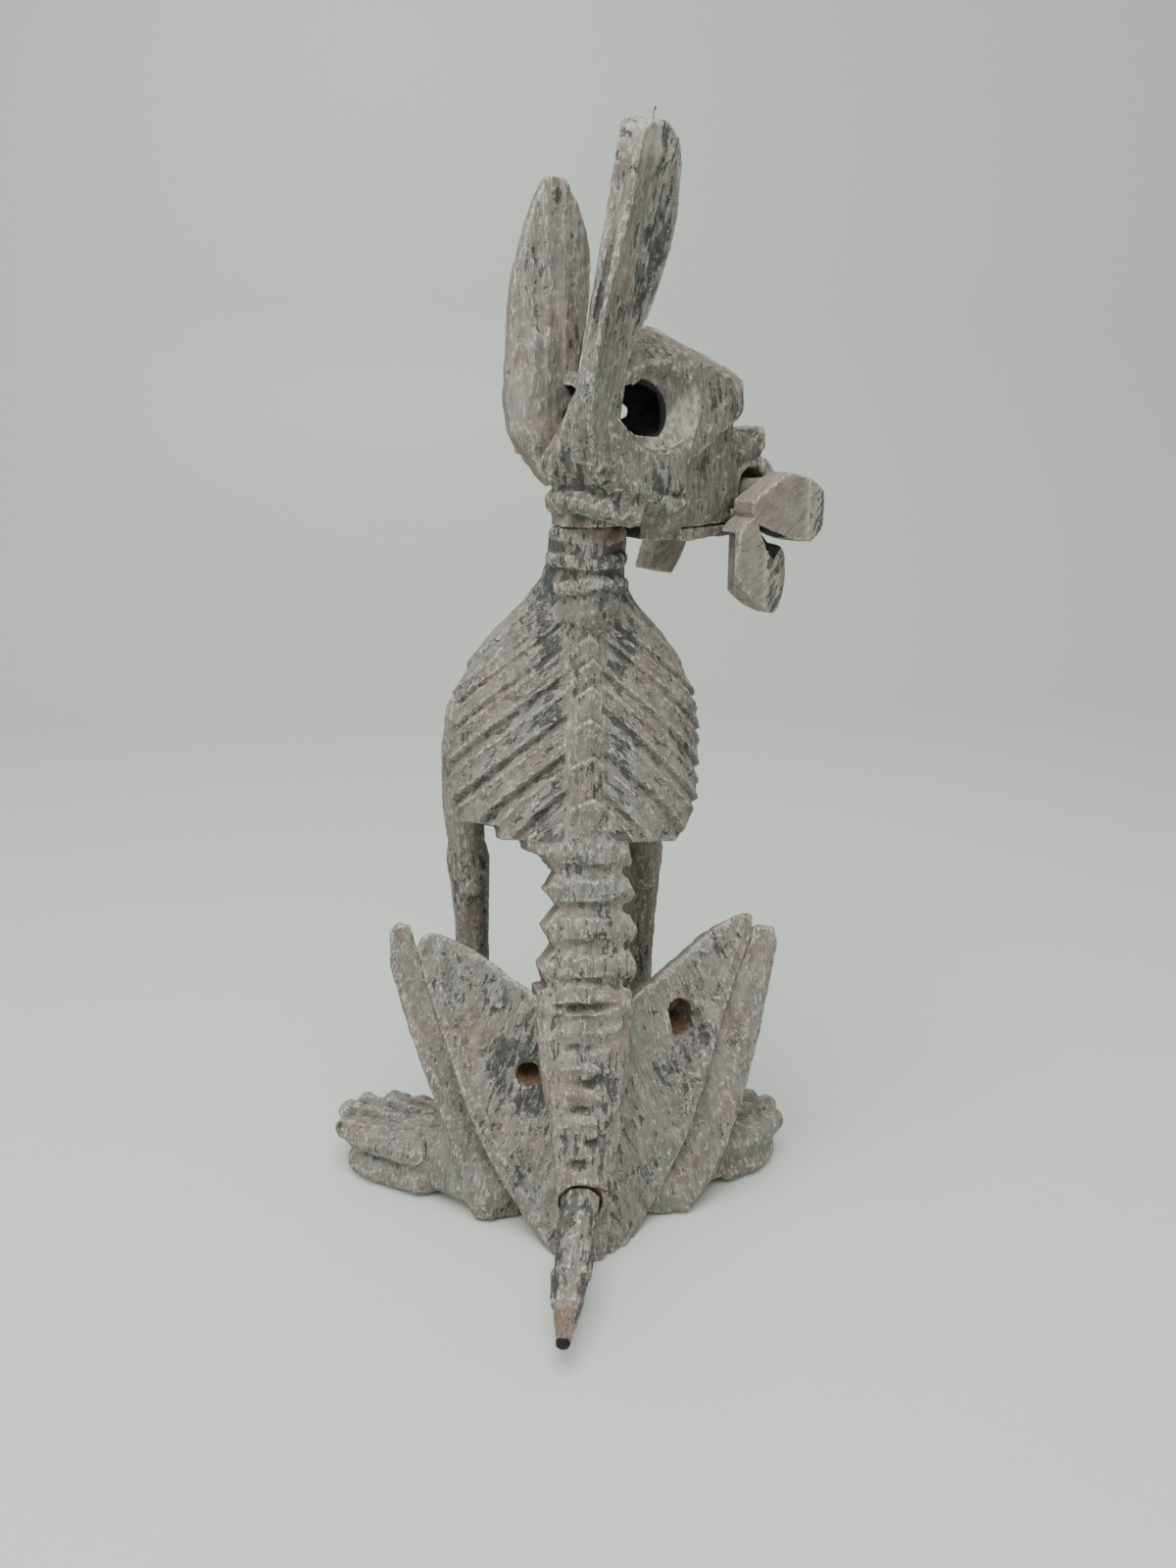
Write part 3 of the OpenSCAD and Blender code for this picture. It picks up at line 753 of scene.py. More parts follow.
def carve_trunk():
    """One block from neck to seat, with the socket for the tail and the flat seat."""
    block = Block(SPINE, (-74, -104, -14), (74, 12, 356))
    for carve in (carve_cage, carve_plates, carve_lumbar, carve_sacrum, carve_neck):
        carve(block)
    block.cut(drill(TAIL_ROOT - TAIL_WAY * 7, TAIL_ROOT + TAIL_WAY * 40, TAIL_SOCKET_R), 0.3)
    down = SPINE.turn.T @ np.array([0, 0, -1.0])
    foot = SPINE.into(np.zeros(3))
    block.cut(planes([(-down, foot)], (-40, -70, -14), (40, 10, 26)), 0.3)
    return block


def trunk_dark(x, y, z):
    """The old dark paint lies thickest beside the ridge and on the neck."""
    beside = bump(abs(x) - 17, 6) * (z > 195) * (y > -22)
    dents = sum(bump(x - deepest, 7.5) * bump(z - dent[0], 3.0) for dent, deepest in zip(DENTS, DENT_POINTS))
    bands = sum(bump(x, 12) * bump(z - height, 2.4) for height in (188, 171.5, 154, 137))
    return 0.6 * beside + np.clip((z - 300) / 20, 0, 1) * 0.55 + (0.75 * dents + 0.6 * bands) * (y > -14)


def trunk_raw(x, y, z):
    """Bare wood in the tail's socket, and a patch under the skull."""
    near = from_line(x, y, z, TAIL_ROOT, TAIL_WAY)[1]
    bore = np.clip((10.6 - near) / 1.2, 0, 1) * (y > -30) * (z < 60)
    wedge = bump(x + 13, 9) * bump(z - 331.5, 4.0) * (y > -26)
    return np.clip(bore * 0.9 + wedge * 0.8, 0, 1)


def trunk_grain(points):
    """The paint follows the ribs on the cage, and the upright grain elsewhere."""
    x, y, z = points.T
    ribbed = (abs(x) > 10) & (z > 196) & (z < 306)
    slope = math.radians(38)
    turned = np.stack([abs(x) * math.sin(slope) + z * math.cos(slope) + np.where(x > 0, 0, 400), y,
                       abs(x) * math.cos(slope) - z * math.sin(slope)], 1)
    return np.where(ribbed[:, None], turned, points)


# ---------------------------------------------------------------- legs, in the figure frame

THIGH = {1: [(73, 133), (70, 139), (66, 140.5), (58, 138), (46, 132), (31, 121.5), (20, 117), (12, 112),
             (8, 60), (6, 24), (3, 0), (16, 0), (25, 9), (35, 23), (43.5, 40), (51.5, 59), (58, 79),
             (64.5, 102), (70, 121)],
         -1: [(-86.5, 131), (-87, 141), (-82, 141.5), (-74, 138.5), (-65, 134), (-52, 124.5), (-36, 114),
              (-24, 110), (-14, 108), (-9, 60), (-7, 24), (-5, 0), (-24, 0), (-34.5, 12), (-43.5, 27),
              (-51.5, 43), (-59, 60), (-66.5, 82), (-74, 102), (-80.5, 118)]}
# the part of that outline that runs up the lower edge from the floor to the knee
LOWER_EDGE = {1: THIGH[1][11:16] + THIGH[1][17:], -1: THIGH[-1][12:] + THIGH[-1][:1]}
HIP = {1: (24.5, 76), -1: (-51.5, 92.5)}
HIP_HOLE_R = {1: 5.6, -1: 5.9}
SHANK = {1: [(74, 135), (76, 143), (81, 145), (85, 141.5), (85.5, 127), (80.5, 105), (75, 86), (68.5, 64),
             (62, 44), (55, 24), (50, 2), (30, 2), (26, 12), (36, 34), (46, 56), (56, 80), (64, 108),
             (70, 128)],
         -1: [(-88, 135), (-92, 136), (-97, 135), (-99, 127), (-95, 108), (-90, 87), (-85.5, 69), (-80, 51),
              (-72, 31), (-62, 14), (-52, 2), (-31, 2), (-28, 12), (-38, 32), (-50, 54), (-62, 76),
              (-73, 102), (-81, 122)]}
HEEL = {1: (41, -46, 12), -1: (-41, -40, 12)}
TOES = {1: (108, -102, 10), -1: (-92, -79, 10)}
# each toe of a hind foot: shift to the outside, length and height
TOE_ROWS = {1: ((-15, 72, 12.5), (-5.5, 81, 14), (4.5, 84, 14), (14, 77, 12)),
            -1: ((-14, 62, 10), (-5, 69, 11), (4.5, 71, 11), (13.5, 65, 9.5))}


def outer_edge(side, b):
    """How far out the lower edge of a thigh lies at a height."""
    line = np.array(LOWER_EDGE[side], float)
    return np.interp(b, line[:, 1], abs(line[:, 0]))


def thigh_middle(side):
    """The middle of the thigh's board: it rises to the sacrum, and its lower edge has a scored border."""
    def middle(a, b):
        inset = outer_edge(side, b) - abs(a)
        border = 0.9 * np.clip((9.5 - inset) / 3, 0, 1)
        border = border - 0.7 * bump(inset - 9.5, 1.2) - 0.4 * bump(inset - 3.4, 0.9)
        top = 1.2 * bump(abs(a) - 46, 26) * np.clip((b - 0.62 * abs(a) - 82) / 6, 0, 1)
        return (-26 - 0.30 * b + 20 * bump(abs(a) - 9, 17) - 0.06 * abs(a) - 0.2 * np.maximum(40 - b, 0)
                + border * (abs(a) > 12) + top)
    return middle


def hip_axis(side):
    """Where a hip's hole opens on the face of the thigh, and which way it runs into the wood."""
    a, b = HIP[side]
    face = np.array([a, thigh_middle(side)(a, b) + 10.5, b])
    toward = rotation(x=68, z=-18 if side > 0 else 24) @ np.array([0, 0, 1.0])
    return face, toward


def carve_thigh(side):
    """A board from the sacrum to the knee, with the bowl and hole of the hip."""
    block = Block(FIGURE, *(((-2, -92, -2), (80, 12, 146)) if side > 0 else ((-94, -92, -2), (2, 12, 146))))
    block.add(plate(THIGH[side], "xz", thigh_middle(side), 12, 2.2, rake=0.5), 0)
    # bowl round the hip's hole, with a shallow run up towards the knee
    face, toward = hip_axis(side)
    if side > 0:
        block.cut(ball(face + (3, 5, 2), (15, 8.5, 20)), 2.5)
        block.cut(bar([face + (20, 2.5, 26), face + (8, 6, 6)], [4, 9]), 4)
        block.cut(drill(face - toward * 8, face + toward * 16, HIP_HOLE_R[side]), 0.5)
    else:
        block.cut(ball(face + (-3, 6, 1), (11, 8, 15)), 2.5)
        block.cut(bar([face + (-8, 4.5, 14), face + (-3, 3.5, 0), face + (-3, 7.5, -17)], [4, 7.5, 4]), 3)
        for lift in (-4, 0, 4):
            aside = np.array([0.2 * lift, 0, lift])
            block.cut(drill(face - toward * 8 + aside, face + toward * 16 + aside, HIP_HOLE_R[side]), 0.4)
    block.level_foot()
    return block


def hip_distance(side, x, y, z):
    """How deep in a hip's hole a point lies, and how far from its middle line; the right hole is a slot."""
    face, toward = hip_axis(side)
    if side < 0:
        z = z - np.clip(z - face[2], -4, 4)
    return from_line(x, y, z, face, toward)


def hip_dark(side):
    """Dark paint in the hip's bowl."""
    def dark(x, y, z):
        face = hip_axis(side)[0]
        bowl = np.hypot((x - face[0] - 5 * side) / 15, (z - face[2]) / 17)
        return np.clip((1.15 - bowl) / 0.3, 0, 1) * (0.95 if side > 0 else 0.15)
    return dark


def hip_raw(side):
    """Bare wood inside the hip's hole."""
    def raw(x, y, z):
        t, near = hip_distance(side, x, y, z)
        return np.clip(((6.6 if side > 0 else 7.2) - near) / 0.6, 0, 1) * (t > 2.2) * (t < 18)
    return raw


def carve_lower_leg(side):
    """Shank, heel and a foot with four toes, in one piece."""
    low, high = (16, -122, -2), (132, -18, 150)
    if side < 0:
        low, high = (-132, -118, -2), (-16, -12, 146)
    block = Block(FIGURE, low, high)
    heel, toes = np.array(HEEL[side], float), np.array(TOES[side], float)
    foot_way = (toes - heel) / np.linalg.norm((toes - heel)[:2])
    foot_way[2] = 0
    out_way = np.array([-foot_way[1], foot_way[0], 0]) * side
    tilt = 0.20 if side > 0 else 0.24

    def middle(a, b):
        ridge = np.interp(b, (20, 80, 140), (44, 70, 88) if side > 0 else (52, 82, 98))
        return heel[1] + 1 - tilt * b + 1.6 * bump(abs(a) - ridge, 5)

    block.add(plate(SHANK[side], "xz", middle, 12, 2.2, rake=0.5), 0)
    # heel and the wedge of the foot
    block.add(bar([heel + (0, 0, 2), heel + foot_way * 22 + (0, 0, 3), heel + foot_way * 44 + (0, 0, 1)],
                  [14, 15, 13.5]), 8)
    lift = 4.5 if side > 0 else 1.0
    block.add(bar([heel + foot_way * 14 + (0, 0, 13 + lift), heel + foot_way * 38 + (0, 0, 9.5 + lift)],
                  [13.5, 11]), 8)
    # instep with a flat top, and four toes, each with its nail block
    for shift, length, height in TOE_ROWS[side]:
        start = heel + foot_way * 38 + out_way * (shift * 0.72) + (0, 0, height - 1)
        knuckle = heel + foot_way * (length - 14) + out_way * shift + (0, 0, height - 1)
        tip = heel + foot_way * (length - 4) + out_way * shift * 1.02 + (0, 0, height - 4)
        block.add(bar([start, knuckle, tip], [9, 8.2, 6.6]), 2.2)
        under = [(at[0], at[1], 7.0) for at in (start, knuckle, tip)]
        block.add(bar(under, [8.4, 8.0, 6.8]), 5)
        nail = heel + foot_way * (length + 2) + out_way * shift * 1.04 + (0, 0, height - 2)
        block.add(bar([nail - foot_way * 2, nail + foot_way * 3], [6.4, 5.6]), 0.6)
        crease = heel + foot_way * (length - 0.5) + out_way * shift * 1.03 + (0, 0, height - 1.5)
        block.cut(bar([crease - out_way * 6 + (0, 0, 6), crease + (0, 0, 9.6),
                       crease + out_way * 6 + (0, 0, 6)], 1.9), 0.7)
    for shift, reach in ((-10.2, 40), (-0.6, 34), (9.4, 30)):
        line = [heel + foot_way * reach + out_way * shift * 0.7 + (0, 0, 20.5 + lift),
                heel + foot_way * (reach + 18) + out_way * shift * 0.9 + (0, 0, 17.5 + lift),
                heel + foot_way * 84 + out_way * shift + (0, 0, 12 + lift)]
        block.cut(bar(line, [1.0, 1.7, 2.1]), 1.4)
    block.level_foot()
    return block


def carve_front_leg(side):
    """A post with an elbow, a groove down its inner side, and a paw."""
    x = 47 if side > 0 else -42
    foot_x = 46 if side > 0 else -38
    low, high = (20, -184, -2), (72, -90, 250)
    if side < 0:
        low, high = (-72, -184, -2), (-16, -90, 250)
    block = Block(FIGURE, low, high)
    block.add(bar([(side * 48, -106, 232), (side * (48.5 if side > 0 else 46), -110, 212),
                   (x + side * (1.5 if side > 0 else -1), -112, 184), (x, -114, 150)],
                  [9, 12, 12, 10], flat=(side, 0.35, 0), ratio=1.25), 3)
    block.add(bar([(x, -114, 156), (x - side * 1, -116, 120), (foot_x + side, -119, 70), (foot_x, -121, 30)],
                  [10, 8.6, 8.4, 9.5]), 4)
    # elbow point and the groove between the two bones of the leg
    block.add(bar([(x, -108, 150), (x, -104, 144)], [7.5, 5.5]), 3)
    block.cut(bar([(x - side * 7.5, -107, 138), (foot_x - side * 6, -111, 92), (foot_x - side * 6, -112, 50)],
                  [2.2, 2.4, 1.6]), 1.2)
    block.add(bar([(foot_x, -122, 26), (foot_x, -132, 12), (foot_x, -144, 9)], [11, 12, 11]), 5)
    for shift, length in ((-12, 40), (-4.2, 47), (4.2, 47), (12, 40)):
        start = np.array((foot_x + shift * 0.6, -130, 9.5))
        tip = np.array((foot_x + shift * 1.05, -122 - length, 7.5))
        block.add(bar([start, tip + (0, 7, 2), tip], [7.5, 7.2, 5.6]), 1.8)
        block.cut(bar([tip + (-5, 4, 5), tip + (0, 4.5, 8.6), tip + (5, 4, 5)], 1.5), 0.7)
    for shift in (-8.2, 0, 8.2):
        block.cut(bar([(foot_x + shift * 0.8, -138, 19), (foot_x + shift, -156, 15.5),
                       (foot_x + shift, -170, 9)], [1.4, 2.2, 2.6]), 1.0)
    block.level_foot()
    return block


# ---------------------------------------------------------------- head: X its left, Y its back

MOUTH = BONE_AT + np.array([0, 1.0, 1.5])      # centre of the arch the bone runs through
MOUTH_R = 10.2
EYES = ((1, -23, 25.5), (-1, -9, 15.5))        # side, middle and reach of each eye's hole along the head


def both(direction, point):
    """A face and its mirror image."""
    return [(direction, point), ((-direction[0], *direction[1:]), (-point[0], *point[1:]))]


def carve_skull():
    """The sawn block of the head with its ear roots, muzzle, eyes and cheeks."""
    low, high = (-48, -122, 308), (48, 46, 418)
    block = Block(HEAD, low, high)
    faces = [((0, -0.33, 1), (0, -20, 408.5)), ((0, 0.62, 1), (0, -10, 409)),
             ((0, -1, -0.06), (0, -75.5, 345)), ((0, 0, -1), (0, 0, 314.5)),
             ((0, 0.51, -0.86), (0, 13, 325))]
    faces += both((0.66, -0.33, 1), (13, -20, 408)) + both((1, -0.10, 0.12), (31, -20, 350))
    faces += both((0.40, -1, -0.10), (21, -75, 344)) + both((1, -0.2, -0.9), (27, -20, 321))
    faces += both((0.643, 0.766, -0.22), (12.5, 15.4, 352)) + both((0.643, 0.766, -0.95), (11, 13.4, 341))
    faces += [((0.643, 0.766, 0.42), (12.5, 14.8, 344)), ((-0.643, 0.766, 0.22), (-16, 16, 352))]
    faces += both((1, 0.25, 1.1), (26, 2, 385)) + both((1, 0.5, 0), (27, 0, 350))
    block.add(planes(faces, low, high, 1.6), 0)
    block.add(ball((-2, -6, 350), (22, 19, 25)), 6)
    # ear roots run down into the cheeks
    block.add(bar([(20, -6, 380), (21, -3, 352), (20, -6, 336)], [8, 9, 6]), 6)
    block.add(bar([(25, 9, 353), (12, 8, 350)], [7, 8]), 5)
    block.add(bar([(-16, 9, 366), (-20, 8, 348), (-22, -6, 332)], [9, 8, 6]), 7)
    # roll at the nape, over the neck
    block.add(bar([(-25, -4, 327), (-20, 7, 330), (-10, 13.5, 332.5), (0, 14.5, 333), (9, 11.5, 332.5),
                   (16, 5, 330), (22, -5, 327)], [5, 5.2, 5, 4.8, 4.6, 4.6, 4.6]), 2.5)
    carve_muzzle(block, low, high)
    carve_eyes(block)
    carve_cheeks(block)
    carve_head_seat(block)
    return block


def carve_muzzle(block, low, high):
    """Muzzle, nose pad and the arch over the bone."""
    bridge = planes([((0, 0.12, 1), (0, -60, 357)), ((0, -1, 0), (0, -100, 0)), ((0, 1, 0), (0, -50, 0)),
                     ((0, 0, -1), (0, 0, 319.7))] + both((1, -0.30, 0.05), (17.5, -74, 335)), low, high, 2)
    block.add(bridge, 3)
    block.add(drill((-14.5, MOUTH[1], MOUTH[2]), (14.5, MOUTH[1], MOUTH[2]), 17.0), 1.0)
    pad = planes([((0, 0.12, 1), (0, -94, 363)), ((0, -1, 0.10), (0, -109.5, 356)),
                  ((0, 1, 0.3), (0, -76, 356)), ((0, -0.5, -1), (0, -98, 349.5)),
                  ((0, 0.2, -1), (0, -84, 347))] + both((1, -0.12, 0.22), (13.5, -94, 356))
                 + both((1, -1.1, 0), (11, -105, 356)), low, high, 3.0)
    block.add(pad, 0.8)
    for s in (1, -1):
        block.cut(ball((s * 7.5, -93, 364), (6.2, 8, 6.0)), 0.6)
    for s in (1, -1):
        block.cut(bar([(s * 17, -77, 350.5), (s * 14.5, -86, 346.5), (s * 15, -100, 349)], [2.0, 1.7, 1.7]),
                  0.8)
        block.cut(bar([(s * 6, -111, 358), (s * 5, -107, 356)], [2.6, 1.8]), 0.8)
    # mouth bore; under it the jaw has its own piece
    block.cut(drill((-40, MOUTH[1], MOUTH[2]), (40, MOUTH[1], MOUTH[2]), MOUTH_R), 0.5)
    block.cut(plate([(-76, 300), (-76, 326.3), (-130, 326.3), (-130, 300)], "yz", 0, 60, 0), 0)
    block.cut(plate([(-38, 300), (-38, 319.7), (-80, 319.7), (-80, 300)], "yz", 0, 60, 0), 0)


def carve_eyes(block):
    """Eye bowls, the ragged holes and the hollow between them."""
    for s, centre, reach in EYES:
        block.cut(ball((s * 30, centre - 9, 373.5), (8.4, reach + 11.5, 20)), 0.5)
        block.cut(ball((s * 17, centre, 370.4), (12.5, reach, 11.8)), 0.4)
        block.cut(ball((s * 18, -17, 366), (9.5, 7, 6)), 0.3)
        block.cut(ball((s * 18, -2, 376), (9, 7, 6)), 0.3)


def carve_cheeks(block):
    """Hollows where the ends of the bone turn past, the passage between the eyes, and long cuts."""
    for s in (1, -1):
        block.cut(planes([((-s, 0.2, 0), (s * 23.7, -44, 0)), ((0, 0.53, 1), (0, -54, 357)),
                          ((0, 1, 0), (0, -33, 0))], (-48, -90, 308), (48, -33, 372), 4), 4)
    block.cut(bar([(-30, 7.0, 370.6), (30, -46.0, 370.8)], 3.4), 0.5)
    # long cuts on the cheek, and the edge between the ear's root and the eye
    for s in (1, -1):
        block.cut(bar([(s * 32, 2, 343), (s * 33, -22, 335), (s * 29, -44, 333)], [1.0, 2.0, 1.0]), 1.2)
        block.cut(bar([(s * 30, -56, 378), (s * 29.5, -61, 366), (s * 27, -56, 350)], [0.8, 1.6, 1.0]), 1.0)
        block.cut(bar([(s * 33, -34, 362), (s * 31.5, -40, 345)], [1.2, 1.8]), 1.2)


def carve_head_seat(block):
    """The ground over the neck, so that the head turns freely."""
    block.cut(drill((0, 0, 300), (0, 0, NECK_SEAT + HEAD_GAP), 24.0), 0.8)
    block.cut(plate([(60, 300), (60, NECK_SEAT + HEAD_GAP), (-4, NECK_SEAT + HEAD_GAP), (-18, 314),
                     (-18, 300)], "yz", 0, 60, 0), 0.5)
    block.add(drill((0, 0, NECK_SEAT + 0.5), (0, 0, 336), 16.2), 2.0)
    block.cut(drill((0, 0, 300), (0, 0, NECK_SEAT + HEAD_GAP), 24.0), 0)


def skull_dark(x, y, z):
    """Dark paint over the eyes and in the nostrils, little in the eye bowls, and black painted shade inside
    the holes.
    """
    temple = np.exp(-((y + 22) / 14) ** 2 - ((z - 392) / 8) ** 2) * (abs(x) > 15)
    brow = bump(y + 62, 8) * bump(z - 377, 7) * (abs(x) > 14)
    nose = (z > 358) * np.clip(1.25 - np.hypot((abs(x) - 7.5) / 6.2, (y + 93) / 8), 0, 1) * 3
    sides = 0.35 * (y > -14) * (z < 350)
    hole = np.sqrt((np.where(x > 0, (y + 23) / 27, (y + 10) / 16.5)) ** 2 + ((z - 370.4) / 13) ** 2)
    core = (abs(x) < 17) * (y > -50) * (y < -12) * (z > 357) * (z < 383)
    # painted shade: black inside the eye holes and the passage between them
    inside = np.maximum((abs(x) < 23.6) * np.clip((1.05 - hole) / 0.05, 0, 1), core)
    bowl = (abs(x) < 27.5) * bump(y + 19, 22) * bump(z - 372, 15) * (abs(x) > 18)
    return np.clip(temple * 0.7 + brow * 0.8 + nose + sides - bowl, -1, 1.6) * (1 - inside) + inside * 4


def skull_pale(x, y, z):
    """Painted light on the lower lip of each eye bowl, which faces up; clean wood along the top of the brow
    and round the mouth.
    """
    bowl = np.sqrt(((y + 18) / 27) ** 2 + ((z - 373.5) / 20) ** 2) < 0.98
    # painted light: the upturned lower lip of each eye bowl made paler
    lip = bowl * (abs(x) < 27.4) * np.clip((-0.62 * (y + 10) - 0.78 * (z - 370) - 9) / 4, 0, 1)
    strip = np.clip((z - 0.33 * (y + 20) - 405.5) / 1.5, 0, 1) * (y < -16)
    ring = np.hypot(y - MOUTH[1], z - MOUTH[2])
    return 0.85 * lip + 0.65 * strip + 0.5 * (ring < 14) * (y < -82) * (abs(x) > 12)


def skull_raw(x, y, z):
    """A bare wedge where the skull sits on the neck."""
    leftward = 0.643 * x + 0.766 * y
    return (np.clip((326 - z) / 1.5, 0, 1) * (np.hypot(x, y) < 17.5) * (leftward > 0) * (leftward < 9)) * 0.6


def carve_jaw():
    """The lower jaw, a board that closes the mouth under the bone."""
    block = Block(HEAD, (-34, -118, 306), (34, -28, 334))
    side_line = [(-37, 314), (-46, 313), (-62, 314), (-84, 313.5), (-100, 315), (-109, 319), (-110, 324),
                 (-107, 326), (-76.5, 326), (-76.5, 319.2), (-38.4, 319.2), (-35, 318)]
    block.add(plate(side_line, "yz", 0, lambda a, b: 22.5 + 0.135 * (a + 36), 1.2), 0)
    block.cut(drill((-40, BONE_AT[1], BONE_AT[2]), (40, BONE_AT[1], BONE_AT[2]), 7.6), 0.8)
    for s in (1, -1):
        block.cut(bar([(s * 15, -80, 317), (s * 13.5, -108, 318)], 1.0), 0.8)
    return block


# ---------------------------------------------------------------- ears

EARS = {1: HEAD.inside((26, 8, 374), rotation(x=7, y=5) @ rotation(z=-24)),
        -1: HEAD.inside((-20, 8, 374), rotation(x=7, y=-9) @ rotation(z=24))}
LEAF = {1: [(1, 94.5), (-5, 96), (-9.5, 95), (-16, 87), (-21, 78), (-24, 69), (-25, 55), (-23.5, 40),
            (-21, 25), (-18, 8), (-18, -8), (-16, -22), (-11, -33), (-6, -36), (0, -31), (6, -22), (12, -13),
            (14.6, 3), (14.8, 20), (14.6, 40), (13, 54), (9, 72), (4, 88)],
        -1: [(14, 104.5), (19, 100.5), (21, 90), (19.6, 82), (20, 70), (22.5, 58), (24, 48), (25, 36),
             (25.4, 22), (24.5, 6), (18.5, -10), (8, -26), (-2, -27), (-6, -12), (-4.4, 4), (-3, 18),
             (-6, 28), (-11, 40), (-13.5, 52), (-15, 64), (-15, 78), (-13.5, 88), (-12, 96), (-7, 104),
             (1, 107.5)]}


def carve_ear(side):
    """A curved leaf: the left one dished, the right one grooved, with end grain at its tip."""
    low, high = ((-26, -34, -36), (30, 28, 104)) if side > 0 else ((-28, -30, -36), (26, 34, 114))
    block = Block(EARS[side], low, high)

    def middle(a, b):
        if side > 0:
            return -1.5 + 0.010 * a * a - 0.06 * a - 3.0 * np.clip((18 - b) / 40, 0, 1)
        return -0.012 * a * a + 0.2 * a + 0.012 * b

    def half(a, b):
        return 7.6 - 0.009 * a * a - 0.02 * b if side > 0 else 6.6 - 0.006 * a * a + 0.012 * b

    block.add(plate(LEAF[side], "yz", middle, half, 1.6), 0)
    if side > 0:
        block.add(bar([(-3, 3, 22), (-4, 4, 0), (-6, 3, -14)], [8, 10, 9]), 7)
        block.cut(bar([(13, -3, 12), (16, -4, 48), (13, -4, 82)], [9, 12, 6]), 1.0)
    else:
        # thick end grain at the tip, a groove down the outer side and a sunk panel in front of it
        block.add(bar([(1, 6, 95), (-1, -3, 97)], [7.4, 6.8]), 3)
        block.cut(bar([(-14.5, -2, 26), (-15.5, -3, 56), (-13, -5, 88)], [8, 9, 5]), 0.8)
        block.cut(bar([(-6.6, 10.5, 16), (-6.2, 9.5, 52), (-6.6, 8.5, 90)], [1.2, 1.5, 1.1]), 0.6)
        block.cut(bar([(-2.0, 25.5, 10), (-1.0, 22, 52), (-1, 21, 84)], [1.2, 1.5, 1.0]), 0.8)
        block.add(bar([(0, 3, 104), (0.6, 2.4, 108.5), (0.2, 3.2, 111.5)], [1.5, 1.1, 0.9]), 0.3)
    block.push(low, high, lambda x, y, z: 0.6 * (0.5 + 0.5 * np.sin(y * 0.85 + 0.9 * np.sin(z * 0.06)))
               * np.clip(z / 20, 0, 1) * np.where(x * side < 1, 1, 0.35))
    return block


def ear_dark(side):
    """Dark paint on the front of the ears, and in the right ear's panel."""
    def dark(x, y, z):
        if side > 0:
            return 0.25 * bump(y + 18, 8) * (z < 40)
        panel = 0.45 * (y < 0) * (x < -3) * np.clip((z - 20) / 20, 0, 1)
        return panel + 0.5 * bump(y - 3, 3.0) * (x < -4) * (z > 15) + 0.4 * bump(x - 5, 4) * (z > 96)
    return dark


def ear_pale(x, y, z):
    """Clean end grain at the tip of the right ear."""
    return 0.7 * np.clip((z - 88 - 4 * np.sin(y * 0.7)) / 8, 0, 1) * (x < 4)


# ---------------------------------------------------------------- bone and tail

BONE_LOBES = (([(-70, 322), (-69, 331), (-78, 336), (-86, 340), (-93.5, 343.5), (-105.5, 341), (-117, 338),
                (-131, 333), (-132, 320), (-129, 314), (-112, 310), (-97, 312), (-88, 315), (-76, 318)],
                -109),
              ([(-61, 318), (-70, 324), (-79, 318), (-86, 311), (-99, 308), (-105.5, 301), (-106, 288),
                (-101, 281), (-93, 276), (-80, 280), (-70, 286), (-61, 294), (-57.5, 303), (-60, 311)], -80))
LOBE_SPLIT = 311                        # height between the upper lobe and the lower one
FACET_WAY, FACET_X = (-0.91, -0.41, 0), -38.3   # the slanted facets: their direction, and where they start
BONE_NOTCH = [(-72, 320.5), (-91, 313.5), (-100, 309), (-88, 303.5), (-79, 308)]


def carve_bone():
    """A shaft with two lobes at either end, the near ones cut to slanted facets."""
    low, high = (-48, -142, 266), (48, -44, 352)
    block = Block(HEAD, low, high)
    c = BONE_AT
    block.add(bar([(-30, c[1], c[2]), (-14, c[1], c[2]), (14, c[1], c[2]), (30, c[1], c[2])],
                  [8.5, 7, 7, 8.5]), 2)
    for outline, edge in BONE_LOBES:
        lobe = plate(smooth_line(outline, 2), "yz", -31.5, 6.8, 0.6)
        facet = planes([(FACET_WAY, (FACET_X, edge, 0))], low, high)
        block.add(Shape(lobe.low, lobe.high, lambda x, y, z, lobe=lobe, facet=facet:
                        np.maximum(lobe.distance(x, y, z), facet.distance(x, y, z))), 0.3)
    # the sides away from the muzzle's front are sawn square to the slanted faces
    block.cut(planes([((-0.72, -0.69, 0), (-38, -57, 300)), ((0, 0, 1), (0, 0, 317))], (-48, -60, 266),
                     (-20, -44, 330)), 0.3)
    # a deep notch where the two lobes part
    block.cut(plate(BONE_NOTCH, "yz", -38, 5.5, 0.2), 0.3)
    # the far end, its lobes slimmer
    far_upper = [(-72, 326), (-82, 340), (-98, 343), (-116, 340), (-126, 331), (-124, 318), (-112, 313),
                 (-98, 318), (-88, 322)]
    far_lower = [(-74, 324), (-88, 322), (-89, 308), (-84, 299), (-78, 291.5), (-62.5, 295), (-65, 303),
                 (-70, 314)]
    for outline in (far_upper, far_lower):
        block.add(plate(outline, "yz", 31.0, 6.2, 0.8), 0.5)
    return block


def facet_depth_at(x, y, edge):
    """How far a point of the bone lies out past the line where a lobe's face turns into its slanted facet."""
    return FACET_WAY[0] * (x - FACET_X) + FACET_WAY[1] * (y - edge)


def bone_pale(x, y, z):
    """White chipped edges between the plain faces and the slanted facets."""
    near = x < -30
    return 0.9 * near * (bump(facet_depth_at(x, y, -109) + 0.4, 0.9) * (z > LOBE_SPLIT)
                         + bump(facet_depth_at(x, y, -80) + 0.4, 0.9) * (z <= LOBE_SPLIT))


